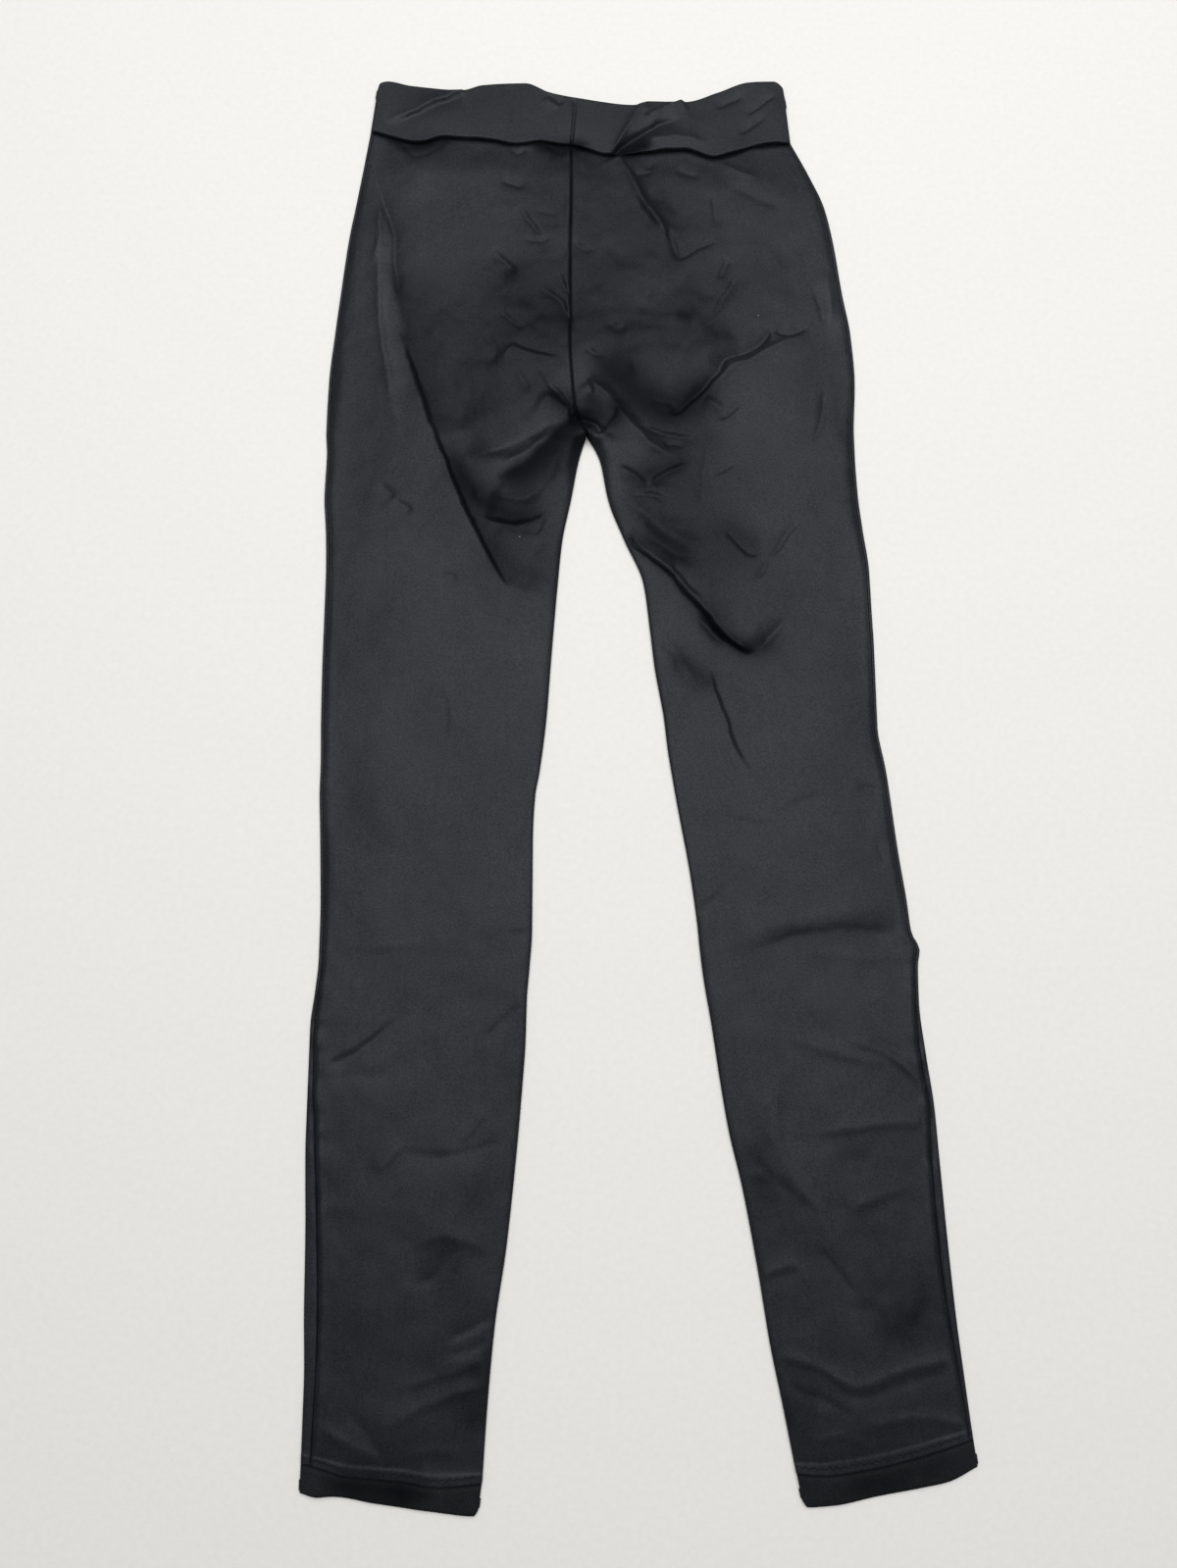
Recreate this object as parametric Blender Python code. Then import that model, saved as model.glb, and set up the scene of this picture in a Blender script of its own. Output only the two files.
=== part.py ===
"""Cycling leggings lying flat, front up: four leg panels, a folded waistband and two turned-up hems.

The tables are in millimetres. X runs across the garment, Y up it from the hems to the waist, and Z up from
the table. The wearer's right leg lies at -X. Each leg is a flattened tube of a front panel that lies on a back
panel. The back panel is the wider of the two, so it wraps round the outer edge, and its side seam lies on top,
a little way in from that edge.
"""

import math
from collections import namedtuple

import bmesh
import bpy
import numpy as np

MM = 0.001

# Cloth, mm
CLOTH = 1.0
BAND_CLOTH = 1.6  # the upper side of the waistband, which is folded double
LAYER_GAP = 0.3
SEAM_GAP = 0.3

# Heights worked out from the cloth, mm
BODY_TOP = 2 * CLOTH + LAYER_GAP
BODY_HALF = BODY_TOP / 2
BODY_HOLLOW = (CLOTH, CLOTH + LAYER_GAP)
BAND_TOP = 2 * BAND_CLOTH + LAYER_GAP
BAND_HALF = BAND_TOP / 2
BAND_HOLLOW = (CLOTH, BAND_TOP - BAND_CLOTH)
FOLD_IN = LAYER_GAP / 2

# A panel's free long edge is rounded by ROUND_ACROSS over ROUND_DOWN, and hardly at the centre seam, mm
ROUND_ACROSS = 1.0
ROUND_DOWN = 0.8
SQUARE_EDGE = 0.1

# The front panel lies a little loose on the back one, mm
LOFT = 1.2
LOFT_REACH = 30.0
FOLD_REACH = 12.0

# The cover-stitched tuck above each hem stands up by TUCK_RISE, mm
TUCK_DEPTH = 4.5
TUCK_SLOPE = 2.0
TUCK_RISE = 1.0

# The folded top edge of the waistband turns over within BAND_TURN, down to a lip of BAND_LIP each side, mm
BAND_TURN = 1.6
BAND_LIP = 0.2

# The waist seam's waves and the tuck's die away over this many sections of a leg.
WAIST_BOW = 3.0
HEM_BOW = 1.0

# A fold rises and falls over this share of its length at each end.
FOLD_FADE = 0.2

# The inseam's edge becomes round within this many sections below the crotch.
CURL_SECTIONS = 0.5

# Mesh steps, and the least width of a column beside a turn, mm
HIP_ROWS = 3
THIGH_ROWS = 2
THIGH_SECTIONS = 7
FRONT_COLUMNS = 12
BACK_COLUMNS = 6
EDGE_ANGLES = (0.0, 45.0, 90.0)
WRAP_ANGLES = (-90.0, -45.0, 0.0, 45.0, 90.0)
BAND_ROWS = (0.0, 0.3, 0.6, 0.86, 0.95, 1.0)
HEM_ROWS = (0.0, 0.5, 1.0)
FOLD_STEPS = 9
LEAST_COLUMN = 0.5
SMOOTH_ANGLE = 40.0

# The centre seam, from the waistband down to the crotch: both legs share these points.
Point = namedtuple("Point", "x y")
CENTRE_SEAM = [
    Point(-35.0, 401.5),
    Point(-35.0, 378.0),
    Point(-35.0, 354.5),
    Point(-35.5, 327.0),
    Point(-35.5, 291.0),
    Point(-35.5, 259.0),
    Point(-34.0, 229.0),
    Point(-31.0, 203.5),
    Point(-24.5, 190.0),
]
CROTCH = len(CENTRE_SEAM) - 1
THIGH_END = CROTCH + THIGH_SECTIONS

# The outer edge beside each point of the centre seam, and how far in from it the side seam lies on top.
Edge = namedtuple("Edge", "x y seam_in")
RIGHT_HIP = [
    Edge(-171.5, 412.5, 2.0),
    Edge(-176.0, 381.0, 2.0),
    Edge(-179.5, 357.5, 2.0),
    Edge(-183.8, 329.0, 2.0),
    Edge(-187.5, 292.5, 2.0),
    Edge(-190.5, 260.5, 2.0),
    Edge(-193.0, 229.0, 2.0),
    Edge(-193.5, 204.0, 2.0),
    Edge(-193.5, 192.5, 2.0),
]
LEFT_HIP = [
    Edge(114.0, 403.5, 2.0),
    Edge(126.0, 378.0, 2.0),
    Edge(135.3, 354.5, 2.2),
    Edge(140.3, 329.0, 2.4),
    Edge(144.8, 292.5, 2.4),
    Edge(149.5, 260.5, 2.2),
    Edge(151.0, 230.5, 2.0),
    Edge(149.6, 204.0, 2.0),
    Edge(149.0, 192.5, 2.0),
]

# Cross-sections of each leg below the crotch, from the inseam's edge to the outer edge.
Section = namedtuple("Section", "inner_x inner_y outer_x outer_y seam_in")
RIGHT_LEG = [
    Section(-29.5, 173.0, -192.5, 175.5, 2.0),
    Section(-34.5, 146.0, -193.0, 149.5, 2.0),
    Section(-40.0, 118.0, -191.0, 121.5, 2.0),
    Section(-43.0, 86.5, -190.0, 90.0, 2.0),
    Section(-46.5, 41.5, -190.0, 45.5, 2.0),
    Section(-49.5, 0.5, -189.5, 4.5, 2.0),
    Section(-53.5, -32.0, -188.5, -28.5, 2.0),
    Section(-56.0, -47.0, -188.5, -43.0, 2.0),
    Section(-57.2, -76.0, -187.0, -72.5, 2.0),
    Section(-57.2, -126.5, -185.0, -122.5, 2.0),
    Section(-58.5, -150.0, -185.0, -145.5, 2.0),
    Section(-60.0, -170.0, -186.5, -165.5, 2.0),
    Section(-60.5, -193.0, -188.5, -187.0, 2.5),
    Section(-62.5, -224.0, -188.5, -217.5, 3.0),
    Section(-65.0, -255.5, -188.5, -249.0, 5.5),
    Section(-70.5, -310.0, -186.5, -302.5, 7.0),
    Section(-76.5, -352.0, -185.5, -345.0, 8.0),
    Section(-80.0, -392.5, -184.0, -384.5, 6.5),
    Section(-82.5, -435.0, -184.0, -425.5, 5.5),
]
LEFT_LEG = [
    Section(-16.0, 173.0, 149.0, 176.5, 2.0),
    Section(-10.5, 145.5, 149.8, 150.5, 2.0),
    Section(-0.5, 119.0, 152.0, 126.0, 2.0),
    Section(11.5, 90.0, 155.0, 98.5, 2.0),
    Section(15.2, 61.0, 155.5, 71.0, 2.0),
    Section(18.0, 35.5, 156.0, 47.5, 2.0),
    Section(23.5, 2.5, 156.0, 16.5, 2.0),
    Section(25.5, -16.0, 156.0, -3.5, 2.0),
    Section(30.2, -47.0, 160.2, -32.0, 2.0),
    Section(38.5, -95.5, 165.2, -80.5, 2.0),
    Section(42.3, -126.0, 169.0, -110.0, 2.0),
    Section(43.3, -138.0, 171.0, -129.5, 2.0),
    Section(44.3, -148.0, 175.5, -140.0, 2.0),
    Section(45.8, -160.0, 174.0, -150.0, 2.0),
    Section(49.6, -183.5, 173.6, -172.0, 2.0),
    Section(54.0, -215.5, 176.4, -203.0, 3.5),
    Section(58.6, -244.5, 179.6, -231.0, 3.0),
    Section(66.0, -277.5, 181.2, -262.0, 5.0),
    Section(73.8, -322.5, 183.5, -305.5, 5.5),
    Section(79.8, -362.5, 186.0, -345.0, 4.5),
    Section(86.0, -394.5, 188.8, -376.5, 3.0),
    Section(92.5, -430.0, 192.2, -411.5, 2.0),
]

# Where the waistband meets the panels, from the right outer edge to the left one.
WAIST_SEAM = [
    Point(-171.5, 412.5),
    Point(-155.5, 407.5),
    Point(-139.5, 403.5),
    Point(-120.0, 408.0),
    Point(-90.0, 406.0),
    Point(-73.5, 403.0),
    Point(-58.0, 404.0),
    Point(-35.0, 401.5),
    Point(-8.0, 395.0),
    Point(20.0, 397.0),
    Point(41.5, 398.5),
    Point(62.0, 392.5),
    Point(90.0, 401.0),
    Point(114.0, 403.5),
]

# The folded top edge of the waistband. The underside's own edge lies BACK_LOWER below it.
BAND_EDGE = [
    Point(-168.0, 443.0),
    Point(-166.0, 449.0),
    Point(-161.0, 450.5),
    Point(-144.5, 447.0),
    Point(-109.5, 443.5),
    Point(-96.0, 447.2),
    Point(-66.5, 449.0),
    Point(-50.0, 442.0),
    Point(-31.5, 437.5),
    Point(9.0, 432.0),
    Point(17.5, 435.0),
    Point(43.0, 434.5),
    Point(65.0, 441.5),
    Point(86.0, 449.3),
    Point(103.5, 450.3),
    Point(109.7, 445.5),
    Point(111.0, 436.0),
]
BACK_LOWER = 1.2

# Each ankle: the lower edge of the tuck and the bottom edge of the hem, from the inseam to the outer edge.
RIGHT_TUCK = [
    Point(-82.5, -434.5),
    Point(-107.0, -436.5),
    Point(-128.0, -433.5),
    Point(-159.5, -431.0),
    Point(-169.0, -428.0),
    Point(-184.0, -424.0),
]
RIGHT_HEM = [
    Point(-84.5, -448.5),
    Point(-87.0, -451.5),
    Point(-108.0, -449.5),
    Point(-142.0, -445.0),
    Point(-166.0, -441.5),
    Point(-174.0, -442.0),
    Point(-184.0, -439.5),
]
LEFT_TUCK = [
    Point(92.5, -429.5),
    Point(108.0, -430.5),
    Point(132.0, -427.5),
    Point(155.5, -422.5),
    Point(173.5, -417.5),
    Point(192.2, -411.5),
]
LEFT_HEM = [
    Point(95.5, -443.5),
    Point(98.5, -447.0),
    Point(113.5, -446.0),
    Point(136.5, -441.5),
    Point(159.0, -437.5),
    Point(177.0, -434.0),
    Point(194.0, -426.0),
]

# The largest folds. Each runs from its start through its middle to its end. Left and right are its widths
# on either hand along that way: a narrow side drops steeply, as where the cloth folds over itself.
Fold = namedtuple("Fold", "start middle end height left right")
BODY_FOLDS = {
    "right thigh fold": Fold((-152, 305), (-122, 188), (-71, 89), 4.5, 4.5, 15.0),
    "right hip crest": Fold((-163, 338), (-159, 268), (-146, 165), 1.6, 8.0, 7.0),
    "right crotch pouch": Fold((-36, 208), (-66, 190), (-104, 174), 2.2, 8.0, 5.0),
    "right inseam pleat": Fold((-34, 184), (-60, 160), (-84, 148), 1.6, 4.0, 6.0),
    "right thigh curl": Fold((-108, 166), (-96, 138), (-68, 128), 1.8, 5.0, 6.0),
    "right smile fold": Fold((-88, 122), (-64, 118), (-43, 142), 1.6, 5.0, 6.0),
    "crotch tuft": Fold((-25, 200), (-19, 211), (-2, 203), 2.4, 4.5, 4.5),
    "left crotch ridge": Fold((-14, 208), (8, 190), (36, 171), 3.0, 5.0, 10.0),
    "left seat crease": Fold((29, 204), (62, 233), (104, 262), 2.2, 16.0, 4.0),
    "left waist pull": Fold((-4, 392), (16, 354), (36, 314), 2.6, 4.5, 10.0),
    "left thigh fold": Fold((2, 122), (40, 92), (82, 44), 4.0, 15.0, 4.0),
    "left thigh ridge": Fold((5, 150), (36, 129), (66, 111), 2.2, 5.0, 9.0),
    "left hip crest": Fold((140, 345), (130, 265), (138, 190), 1.6, 7.0, 8.0),
    "left knee dip edge": Fold((52, 38), (62, 2), (80, -34), 1.6, 6.0, 7.0),
    "left knee crease": Fold((62, -146), (103, -129), (152, -123), 0.9, 8.0, 8.0),
    "right calf crease": Fold((-180, -211), (-159, -198), (-136, -178), 0.9, 6.0, 7.0),
    "left calf crease": Fold((120, -190), (146, -204), (170, -211), 0.9, 7.0, 6.0),
}
BAND_FOLDS = {
    "right band fold": Fold((-108, 446), (-130, 427), (-162, 411), 2.6, 4.0, 11.0),
    "left band pleat": Fold((18, 440), (8, 418), (-7, 394), 2.2, 3.5, 8.0),
    "left band overlap": Fold((45, 440), (19, 424), (-4, 396), 3.4, 5.0, 5.0),
}

# Charcoal knit: each cloth's colour and roughness
Finish = namedtuple("Finish", "colour roughness")
FINISHES = {
    "body_cloth": Finish((0.018, 0.019, 0.021), 0.55),
    "under_cloth": Finish((0.017, 0.018, 0.020), 0.6),
    "waistband_cloth": Finish((0.020, 0.021, 0.023), 0.55),
    "hem_cloth": Finish((0.015, 0.016, 0.018), 0.6),
}


def smooth_step(value):
    """0 below 0, 1 above 1, and an even S between them."""
    t = np.clip(value, 0.0, 1.0)
    return t * t * (3.0 - 2.0 * t)


def curve_through(knots, values, at):
    """A smooth curve through the values that never overshoots them."""
    knots, values = np.asarray(knots, float), np.asarray(values, float)
    at = np.clip(np.asarray(at, float), knots[0], knots[-1])
    step = np.diff(knots)
    rise = np.diff(values) / step
    slope = np.concatenate([[rise[0]], np.zeros(len(rise) - 1), [rise[-1]]])
    inside = rise[:-1] * rise[1:] > 0
    slope[1:-1][inside] = 2 * (rise[:-1] * rise[1:])[inside] / (rise[:-1] + rise[1:])[inside]
    place = np.clip(np.searchsorted(knots, at, side="right") - 1, 0, len(step) - 1)
    width, t = step[place], (at - knots[place]) / step[place]
    start = values[place] * (1 + 2 * t) * (1 - t) ** 2 + slope[place] * width * t * (1 - t) ** 2
    end = values[place + 1] * t * t * (3 - 2 * t) + slope[place + 1] * width * t * t * (t - 1)
    return start + end


def line_y(points, x):
    """Y of a line of points at each X. The points run along X either way."""
    ordered = sorted(points)
    return curve_through([p.x for p in ordered], [p.y for p in ordered], x)


def fold_height(fold, x, y):
    """How far one fold lifts the cloth at each point: full along its line, and fading out at its ends."""
    t = np.linspace(0.0, 1.0, FOLD_STEPS)[:, None]
    start, middle, end = (np.array(p, float) for p in (fold.start, fold.middle, fold.end))
    bend = 2.0 * middle - 0.5 * (start + end)
    line = start * (1 - t) ** 2 + bend * 2 * t * (1 - t) + end * t * t
    nearest = np.full(x.shape, np.inf)
    height = np.zeros(x.shape)
    for i in range(FOLD_STEPS - 1):
        way = line[i + 1] - line[i]
        length = math.hypot(*way)
        dx, dy = x - line[i, 0], y - line[i, 1]
        part = np.clip((dx * way[0] + dy * way[1]) / length**2, 0.0, 1.0)
        away = np.hypot(dx - part * way[0], dy - part * way[1])
        on_left = way[0] * dy - way[1] * dx > 0
        width = np.where(on_left, fold.left, fold.right)
        along = (i + part) / (FOLD_STEPS - 1)
        fade = smooth_step(along / FOLD_FADE) * smooth_step((1 - along) / FOLD_FADE)
        closer = away < nearest
        height = np.where(closer, fold.height * fade * np.exp(-((away / width) ** 2)), height)
        nearest = np.where(closer, away, nearest)
    return height


def folds_height(folds, x, y):
    """How far all these folds lift the cloth at each point."""
    return sum(fold_height(fold, x, y) for fold in folds.values())


def sections_of(hip, leg):
    """The table of one leg from the waist to the ankle: the hip's sections start at the centre seam."""
    return [Section(c.x, c.y, e.x, e.y, e.seam_in) for c, e in zip(CENTRE_SEAM, hip)] + leg


def row_places(count):
    """Where the mesh rows lie, counted in sections: close together at the hip and in the thigh."""
    hip = np.linspace(0, CROTCH, CROTCH * HIP_ROWS + 1)
    thigh = np.linspace(CROTCH, THIGH_END, (THIGH_END - CROTCH) * THIGH_ROWS + 1)
    calf = np.arange(THIGH_END, count - 1)
    return np.unique(np.concatenate([hip, thigh, calf]))


class Leg:
    """One leg's flattened tube: rows of inner and outer edge points, and the two panels between them."""

    def __init__(self, hip, leg, tuck):
        sections = sections_of(hip, leg)
        self.last = len(sections) - 1
        self.tuck = tuck
        ankle = math.dist(sections[-1][:2], sections[-2][:2])
        near_hem = self.last - np.array([TUCK_DEPTH + TUCK_SLOPE, TUCK_DEPTH, 0.0]) / ankle
        place = np.concatenate([row_places(self.last + 1), near_hem])
        table = np.array(sections, float)
        self.place = place[:, None]
        self.inner = np.stack([self.inner_curve(table[:, i], place) for i in (0, 1)], axis=1)
        knots = range(self.last + 1)
        self.outer = np.stack([curve_through(knots, table[:, i], place) for i in (2, 3)], axis=1)
        self.seam_in = curve_through(knots, table[:, 4], place)[:, None]
        self.width = np.hypot(*(self.outer - self.inner).T)[:, None]
        self.above_hem = (self.last - self.place) * ankle
        self.curl = smooth_step((self.place - CROTCH) / CURL_SECTIONS)

    def inner_curve(self, values, place):
        """The centre seam down to the crotch, the same for both legs, and then this leg's inseam."""
        seam = curve_through(range(CROTCH + 1), values[: CROTCH + 1], place)
        inseam = curve_through(range(CROTCH, self.last + 1), values[CROTCH:], place)
        return np.where(place <= CROTCH, seam, inseam)

    def bow(self, x, line, end):
        """How far a line of points departs from the straight way between the leg's edges at this end."""
        (inner_x, inner_y), (outer_x, outer_y) = self.inner[end], self.outer[end]
        x = np.clip(x, min(inner_x, outer_x), max(inner_x, outer_x))
        straight = inner_y + (x - inner_x) / (outer_x - inner_x) * (outer_y - inner_y)
        return line_y(line, x) - straight

    def on_table(self, across):
        """X and Y of points this far from the inner edge, bowed to the waist seam and to the tuck."""
        share = across / self.width
        x = self.inner[:, :1] + share * (self.outer - self.inner)[:, :1]
        y = self.inner[:, 1:] + share * (self.outer - self.inner)[:, 1:]
        waist = np.clip(1 - self.place / WAIST_BOW, 0, 1) ** 2
        ankle = np.clip(1 - (self.last - self.place) / HEM_BOW, 0, 1) ** 2
        y = y + waist * (self.bow(x, WAIST_SEAM, 0) - SEAM_GAP / 2)
        return x, y + ankle * (self.bow(x, self.tuck, -1) + SEAM_GAP / 2)

    def tuck_lift(self):
        """How far each row stands up for the tuck above the hem."""
        return TUCK_RISE * smooth_step((TUCK_DEPTH + TUCK_SLOPE - self.above_hem) / TUCK_SLOPE)

    def inner_edge(self):
        """How far in each column of a panel's inner edge lies, and how far the round corner drops there."""
        angles = np.radians(EDGE_ANGLES)[None, :]
        across = SQUARE_EDGE + (ROUND_ACROSS - SQUARE_EDGE) * self.curl
        down = SQUARE_EDGE + (ROUND_DOWN - SQUARE_EDGE) * self.curl
        start = (1 - self.curl) * SEAM_GAP / 2
        return start + across * (1 - np.cos(angles)), down * (1 - np.sin(angles))

    def front_walls(self):
        """The front panel's upper and lower wall points, from the inner edge to the side seam."""
        edge, drop = self.inner_edge()
        share = np.linspace(0, 1, FRONT_COLUMNS + 1)[None, 1:]
        seam = self.width - self.seam_in - SEAM_GAP / 2
        across = np.concatenate([edge, edge[:, -1:] + share * (seam - edge[:, -1:])], axis=1)
        x, y = self.on_table(across)
        from_seam, from_inseam = seam - across, across
        lift = folds_height(BODY_FOLDS, x, y) * self.held_down(from_seam, from_inseam, FOLD_REACH)
        below_waist = line_y(WAIST_SEAM, x) - y
        loose = smooth_step(below_waist / LOFT_REACH) * smooth_step(self.above_hem / LOFT_REACH)
        lift = lift + LOFT * loose * self.held_down(from_seam, from_inseam, LOFT_REACH) + self.tuck_lift()
        fall = np.zeros(across.shape)
        fall[:, : drop.shape[1]] = drop
        upper = np.stack([x, y, BODY_TOP - fall + lift], axis=2)
        lower = np.stack([x, y, BODY_TOP - CLOTH + lift], axis=2)
        return upper, lower

    def held_down(self, from_seam, from_inseam, reach):
        """0 at the side seam and the inseam, which hold the cloth down, and 1 at this reach from them."""
        inseam = 1 - self.curl + self.curl * smooth_step(from_inseam / reach)
        return smooth_step(from_seam / reach) * inseam

    def back_walls(self):
        """The back panel's outer and inner wall points, from the inner edge round to the side seam."""
        edge, drop = self.inner_edge()
        share = np.linspace(0, 1, BACK_COLUMNS + 1)[None, 1:-1]
        turn = self.width - BODY_HALF
        flat = np.concatenate([edge, edge[:, -1:] + share * (turn - edge[:, -1:])], axis=1)
        angles = np.radians(WRAP_ANGLES)[None, :]
        seam = self.width - self.seam_in + SEAM_GAP / 2
        outside = np.concatenate([flat, turn + BODY_HALF * np.cos(angles), seam], axis=1)
        inside = np.concatenate([flat, turn + FOLD_IN * np.cos(angles), seam], axis=1)
        ones = np.ones(self.width.shape)
        fall = np.zeros(flat.shape)
        fall[:, : drop.shape[1]] = drop
        turned = ones * (1 + np.sin(angles))
        rise = np.concatenate([np.zeros(flat.shape), turned / 2, ones], axis=1)
        lift = self.tuck_lift() * rise
        outer_z = np.concatenate([fall, BODY_HALF * turned, ones * BODY_TOP], axis=1) + lift
        inner_z = CLOTH + LAYER_GAP * rise + lift
        x, y = self.on_table(outside)
        inside_x, inside_y = self.on_table(inside)
        return np.stack([x, y, outer_z], axis=2), np.stack([inside_x, inside_y, inner_z], axis=2)


def flattened_ring(top_x, bottom_x, ends, half, hollow):
    """One turn round a flattened tube, from its low-X end over the top and back underneath.

    It is twice half high, and its hollow lies between two heights. Returns for each column its X, its outer
    height, its inner height and the X of its inner point.
    """
    low, high = ends
    angles = np.radians(WRAP_ANGLES)
    up_low, up_high = low + half, high - half
    middle, inside = (hollow[0] + hollow[1]) / 2, (hollow[1] - hollow[0]) / 2
    reach = [(math.cos(a), math.sin(a)) for a in angles]
    low_turn = [(up_low - half * c, up, up_low - inside * c) for c, up in reach]
    high_turn = [(up_high + half * c, up, up_high + inside * c) for c, up in reach[::-1]]
    flat_low, flat_high = up_low + LEAST_COLUMN, up_high - LEAST_COLUMN
    top = [(x, 1.0, x) for x in top_x if flat_low < x < flat_high]
    bottom = [(x, -1.0, x) for x in bottom_x[::-1] if flat_low < x < flat_high]
    columns = np.array(low_turn + top + high_turn + bottom)
    return columns[:, 0], half + half * columns[:, 1], middle + inside * columns[:, 1], columns[:, 2]


def tube_walls(columns, top_line, bottom_line, ends_top, ends_bottom, rows):
    """Outer and inner wall points of a flattened ring, from its first line to its second."""
    x, outer_z, inner_z, inner_x = columns
    walls = []
    for across, height in ((x, outer_z), (inner_x, inner_z)):
        share = (across - ends_top[0]) / (ends_top[1] - ends_top[0])
        far_x = ends_bottom[0] + share * (ends_bottom[1] - ends_bottom[0])
        start = np.stack([across, top_line(across), height], axis=1)
        end = np.stack([far_x, bottom_line(far_x), height], axis=1)
        walls.append(np.array([start + (end - start) * row for row in rows]))
    return walls


def hem_walls(leg, tuck, hem):
    """The turned-up hem: a flattened ring from just under the tuck to the bottom edge."""
    front, back = leg.front_walls()[0][-1], leg.back_walls()[0][-1]
    order = slice(None, None, 1 if front[-1, 0] > front[0, 0] else -1)
    ends_top = sorted((tuck[0].x, tuck[-1].x))
    ends_bottom = sorted((hem[0].x, hem[-1].x))
    on_top = np.sort(np.concatenate([front[len(EDGE_ANGLES) :, 0], back[-1:, 0]]))
    below = back[order][:, 0]
    columns = flattened_ring(on_top, np.sort(below), ends_top, BODY_HALF, BODY_HOLLOW)
    return tube_walls(
        columns,
        lambda x: line_y(tuck, x) - SEAM_GAP / 2,
        lambda x: line_y(hem, x),
        ends_top,
        ends_bottom,
        HEM_ROWS,
    )


def band_walls(right, left):
    """The waistband: one strip of folded cloth round the waist, its ends meeting at the front's centre."""
    fronts = [leg.front_walls()[0][0][len(EDGE_ANGLES) :, 0] for leg in (right, left)]
    back_x = np.sort(np.concatenate([leg.back_walls()[0][0][:, 0] for leg in (right, left)]))
    ends_low = (WAIST_SEAM[0].x, WAIST_SEAM[-1].x)
    ends_high = (BAND_EDGE[0].x, BAND_EDGE[-1].x)
    centre = CENTRE_SEAM[0].x
    cut = [centre - SEAM_GAP / 2, centre + SEAM_GAP / 2]
    on_top = np.sort(np.concatenate([*fronts, cut]))
    columns = np.array(flattened_ring(on_top, back_x, ends_low, BAND_HALF, BAND_HOLLOW))
    first = int(np.flatnonzero(np.isclose(columns[0], cut[1]) & (columns[1] > BAND_HALF))[0])
    columns = np.roll(columns, -first, axis=1)
    outer, inner = tube_walls(
        columns,
        lambda x: line_y(WAIST_SEAM, x) + SEAM_GAP / 2,
        lambda x: line_y(BAND_EDGE, x),
        ends_low,
        ends_high,
        BAND_ROWS,
    )
    for wall in (outer, inner):
        on_front = smooth_step((wall[0, :, 2] - BAND_HALF) / FOLD_IN)
        height = wall[-1, :, 1] - wall[0, :, 1]
        x = wall[:, :, 0]
        from_side = np.minimum(x - x.min(), x.max() - x)
        lift = folds_height(BAND_FOLDS, x, wall[:, :, 1])
        wall[:, :, 1] -= BACK_LOWER * (1 - on_front) * np.array(BAND_ROWS)[:, None]
        if wall is outer:
            to_edge = (1 - np.array(BAND_ROWS))[:, None] * height / BAND_TURN
            rounded = np.sqrt(np.clip(1 - np.clip(1 - to_edge, 0, 1) ** 2, 0, 1))
            lip = (BAND_LIP + FOLD_IN) / BAND_HALF
            wall[:, :, 2] = BAND_HALF + (wall[:, :, 2] - BAND_HALF) * (lip + (1 - lip) * rounded)
        wall[:, :, 2] += lift * on_front * smooth_step(from_side / FOLD_REACH)
    return outer, inner


def grid_faces(mesh, wall, closed):
    """A grid of faces through the wall's points. Returns its vertices as rows of columns."""
    rows, columns = wall.shape[:2]
    made = bmesh.ops.create_grid(mesh, x_segments=columns - 1, y_segments=rows - 1, size=1.0)["verts"]
    table = [[None] * columns for _ in range(rows)]
    for vert in made:
        column = round((vert.co.x + 1) / 2 * (columns - 1))
        row = round((vert.co.y + 1) / 2 * (rows - 1))
        table[row][column] = vert
        vert.co = wall[row, column] * MM
    if closed:
        for above, below in zip(table[:-1], table[1:]):
            mesh.faces.new((above[-1], above[0], below[0], below[-1]))
    return table


def solid(name, walls, finish, closed=False):
    """A closed body of cloth between an outer and an inner wall of points."""
    mesh = bmesh.new()
    outer, inner = (grid_faces(mesh, wall, closed) for wall in walls)
    rims = [(outer[0], inner[0]), (outer[-1], inner[-1])]
    if not closed:
        for side in (0, -1):
            rims.append(([row[side] for row in outer], [row[side] for row in inner]))
    for near, far in rims:
        count = len(near)
        for i in range(count if closed else count - 1):
            j = (i + 1) % count
            mesh.faces.new((near[i], near[j], far[j], far[i]))
    bmesh.ops.recalc_face_normals(mesh, faces=mesh.faces[:])
    data = bpy.data.meshes.new(name)
    mesh.to_mesh(data)
    mesh.free()
    data.shade_smooth()
    data.set_sharp_from_angle(angle=math.radians(SMOOTH_ANGLE))
    data.materials.append(material(finish))
    body = bpy.data.objects.new(name, data)
    bpy.context.scene.collection.objects.link(body)
    return body


def material(name):
    """The plain cloth of this name."""
    if name in bpy.data.materials:
        return bpy.data.materials[name]
    cloth = bpy.data.materials.new(name)
    cloth.use_nodes = True
    shader = cloth.node_tree.nodes["Principled BSDF"]
    shader.inputs["Base Color"].default_value = (*FINISHES[name].colour, 1.0)
    shader.inputs["Roughness"].default_value = FINISHES[name].roughness
    shader.inputs["Metallic"].default_value = 0.0
    return cloth


def clear_scene():
    """Removes what the scene starts with."""
    for thing in list(bpy.data.objects):
        bpy.data.objects.remove(thing, do_unlink=True)


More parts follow.
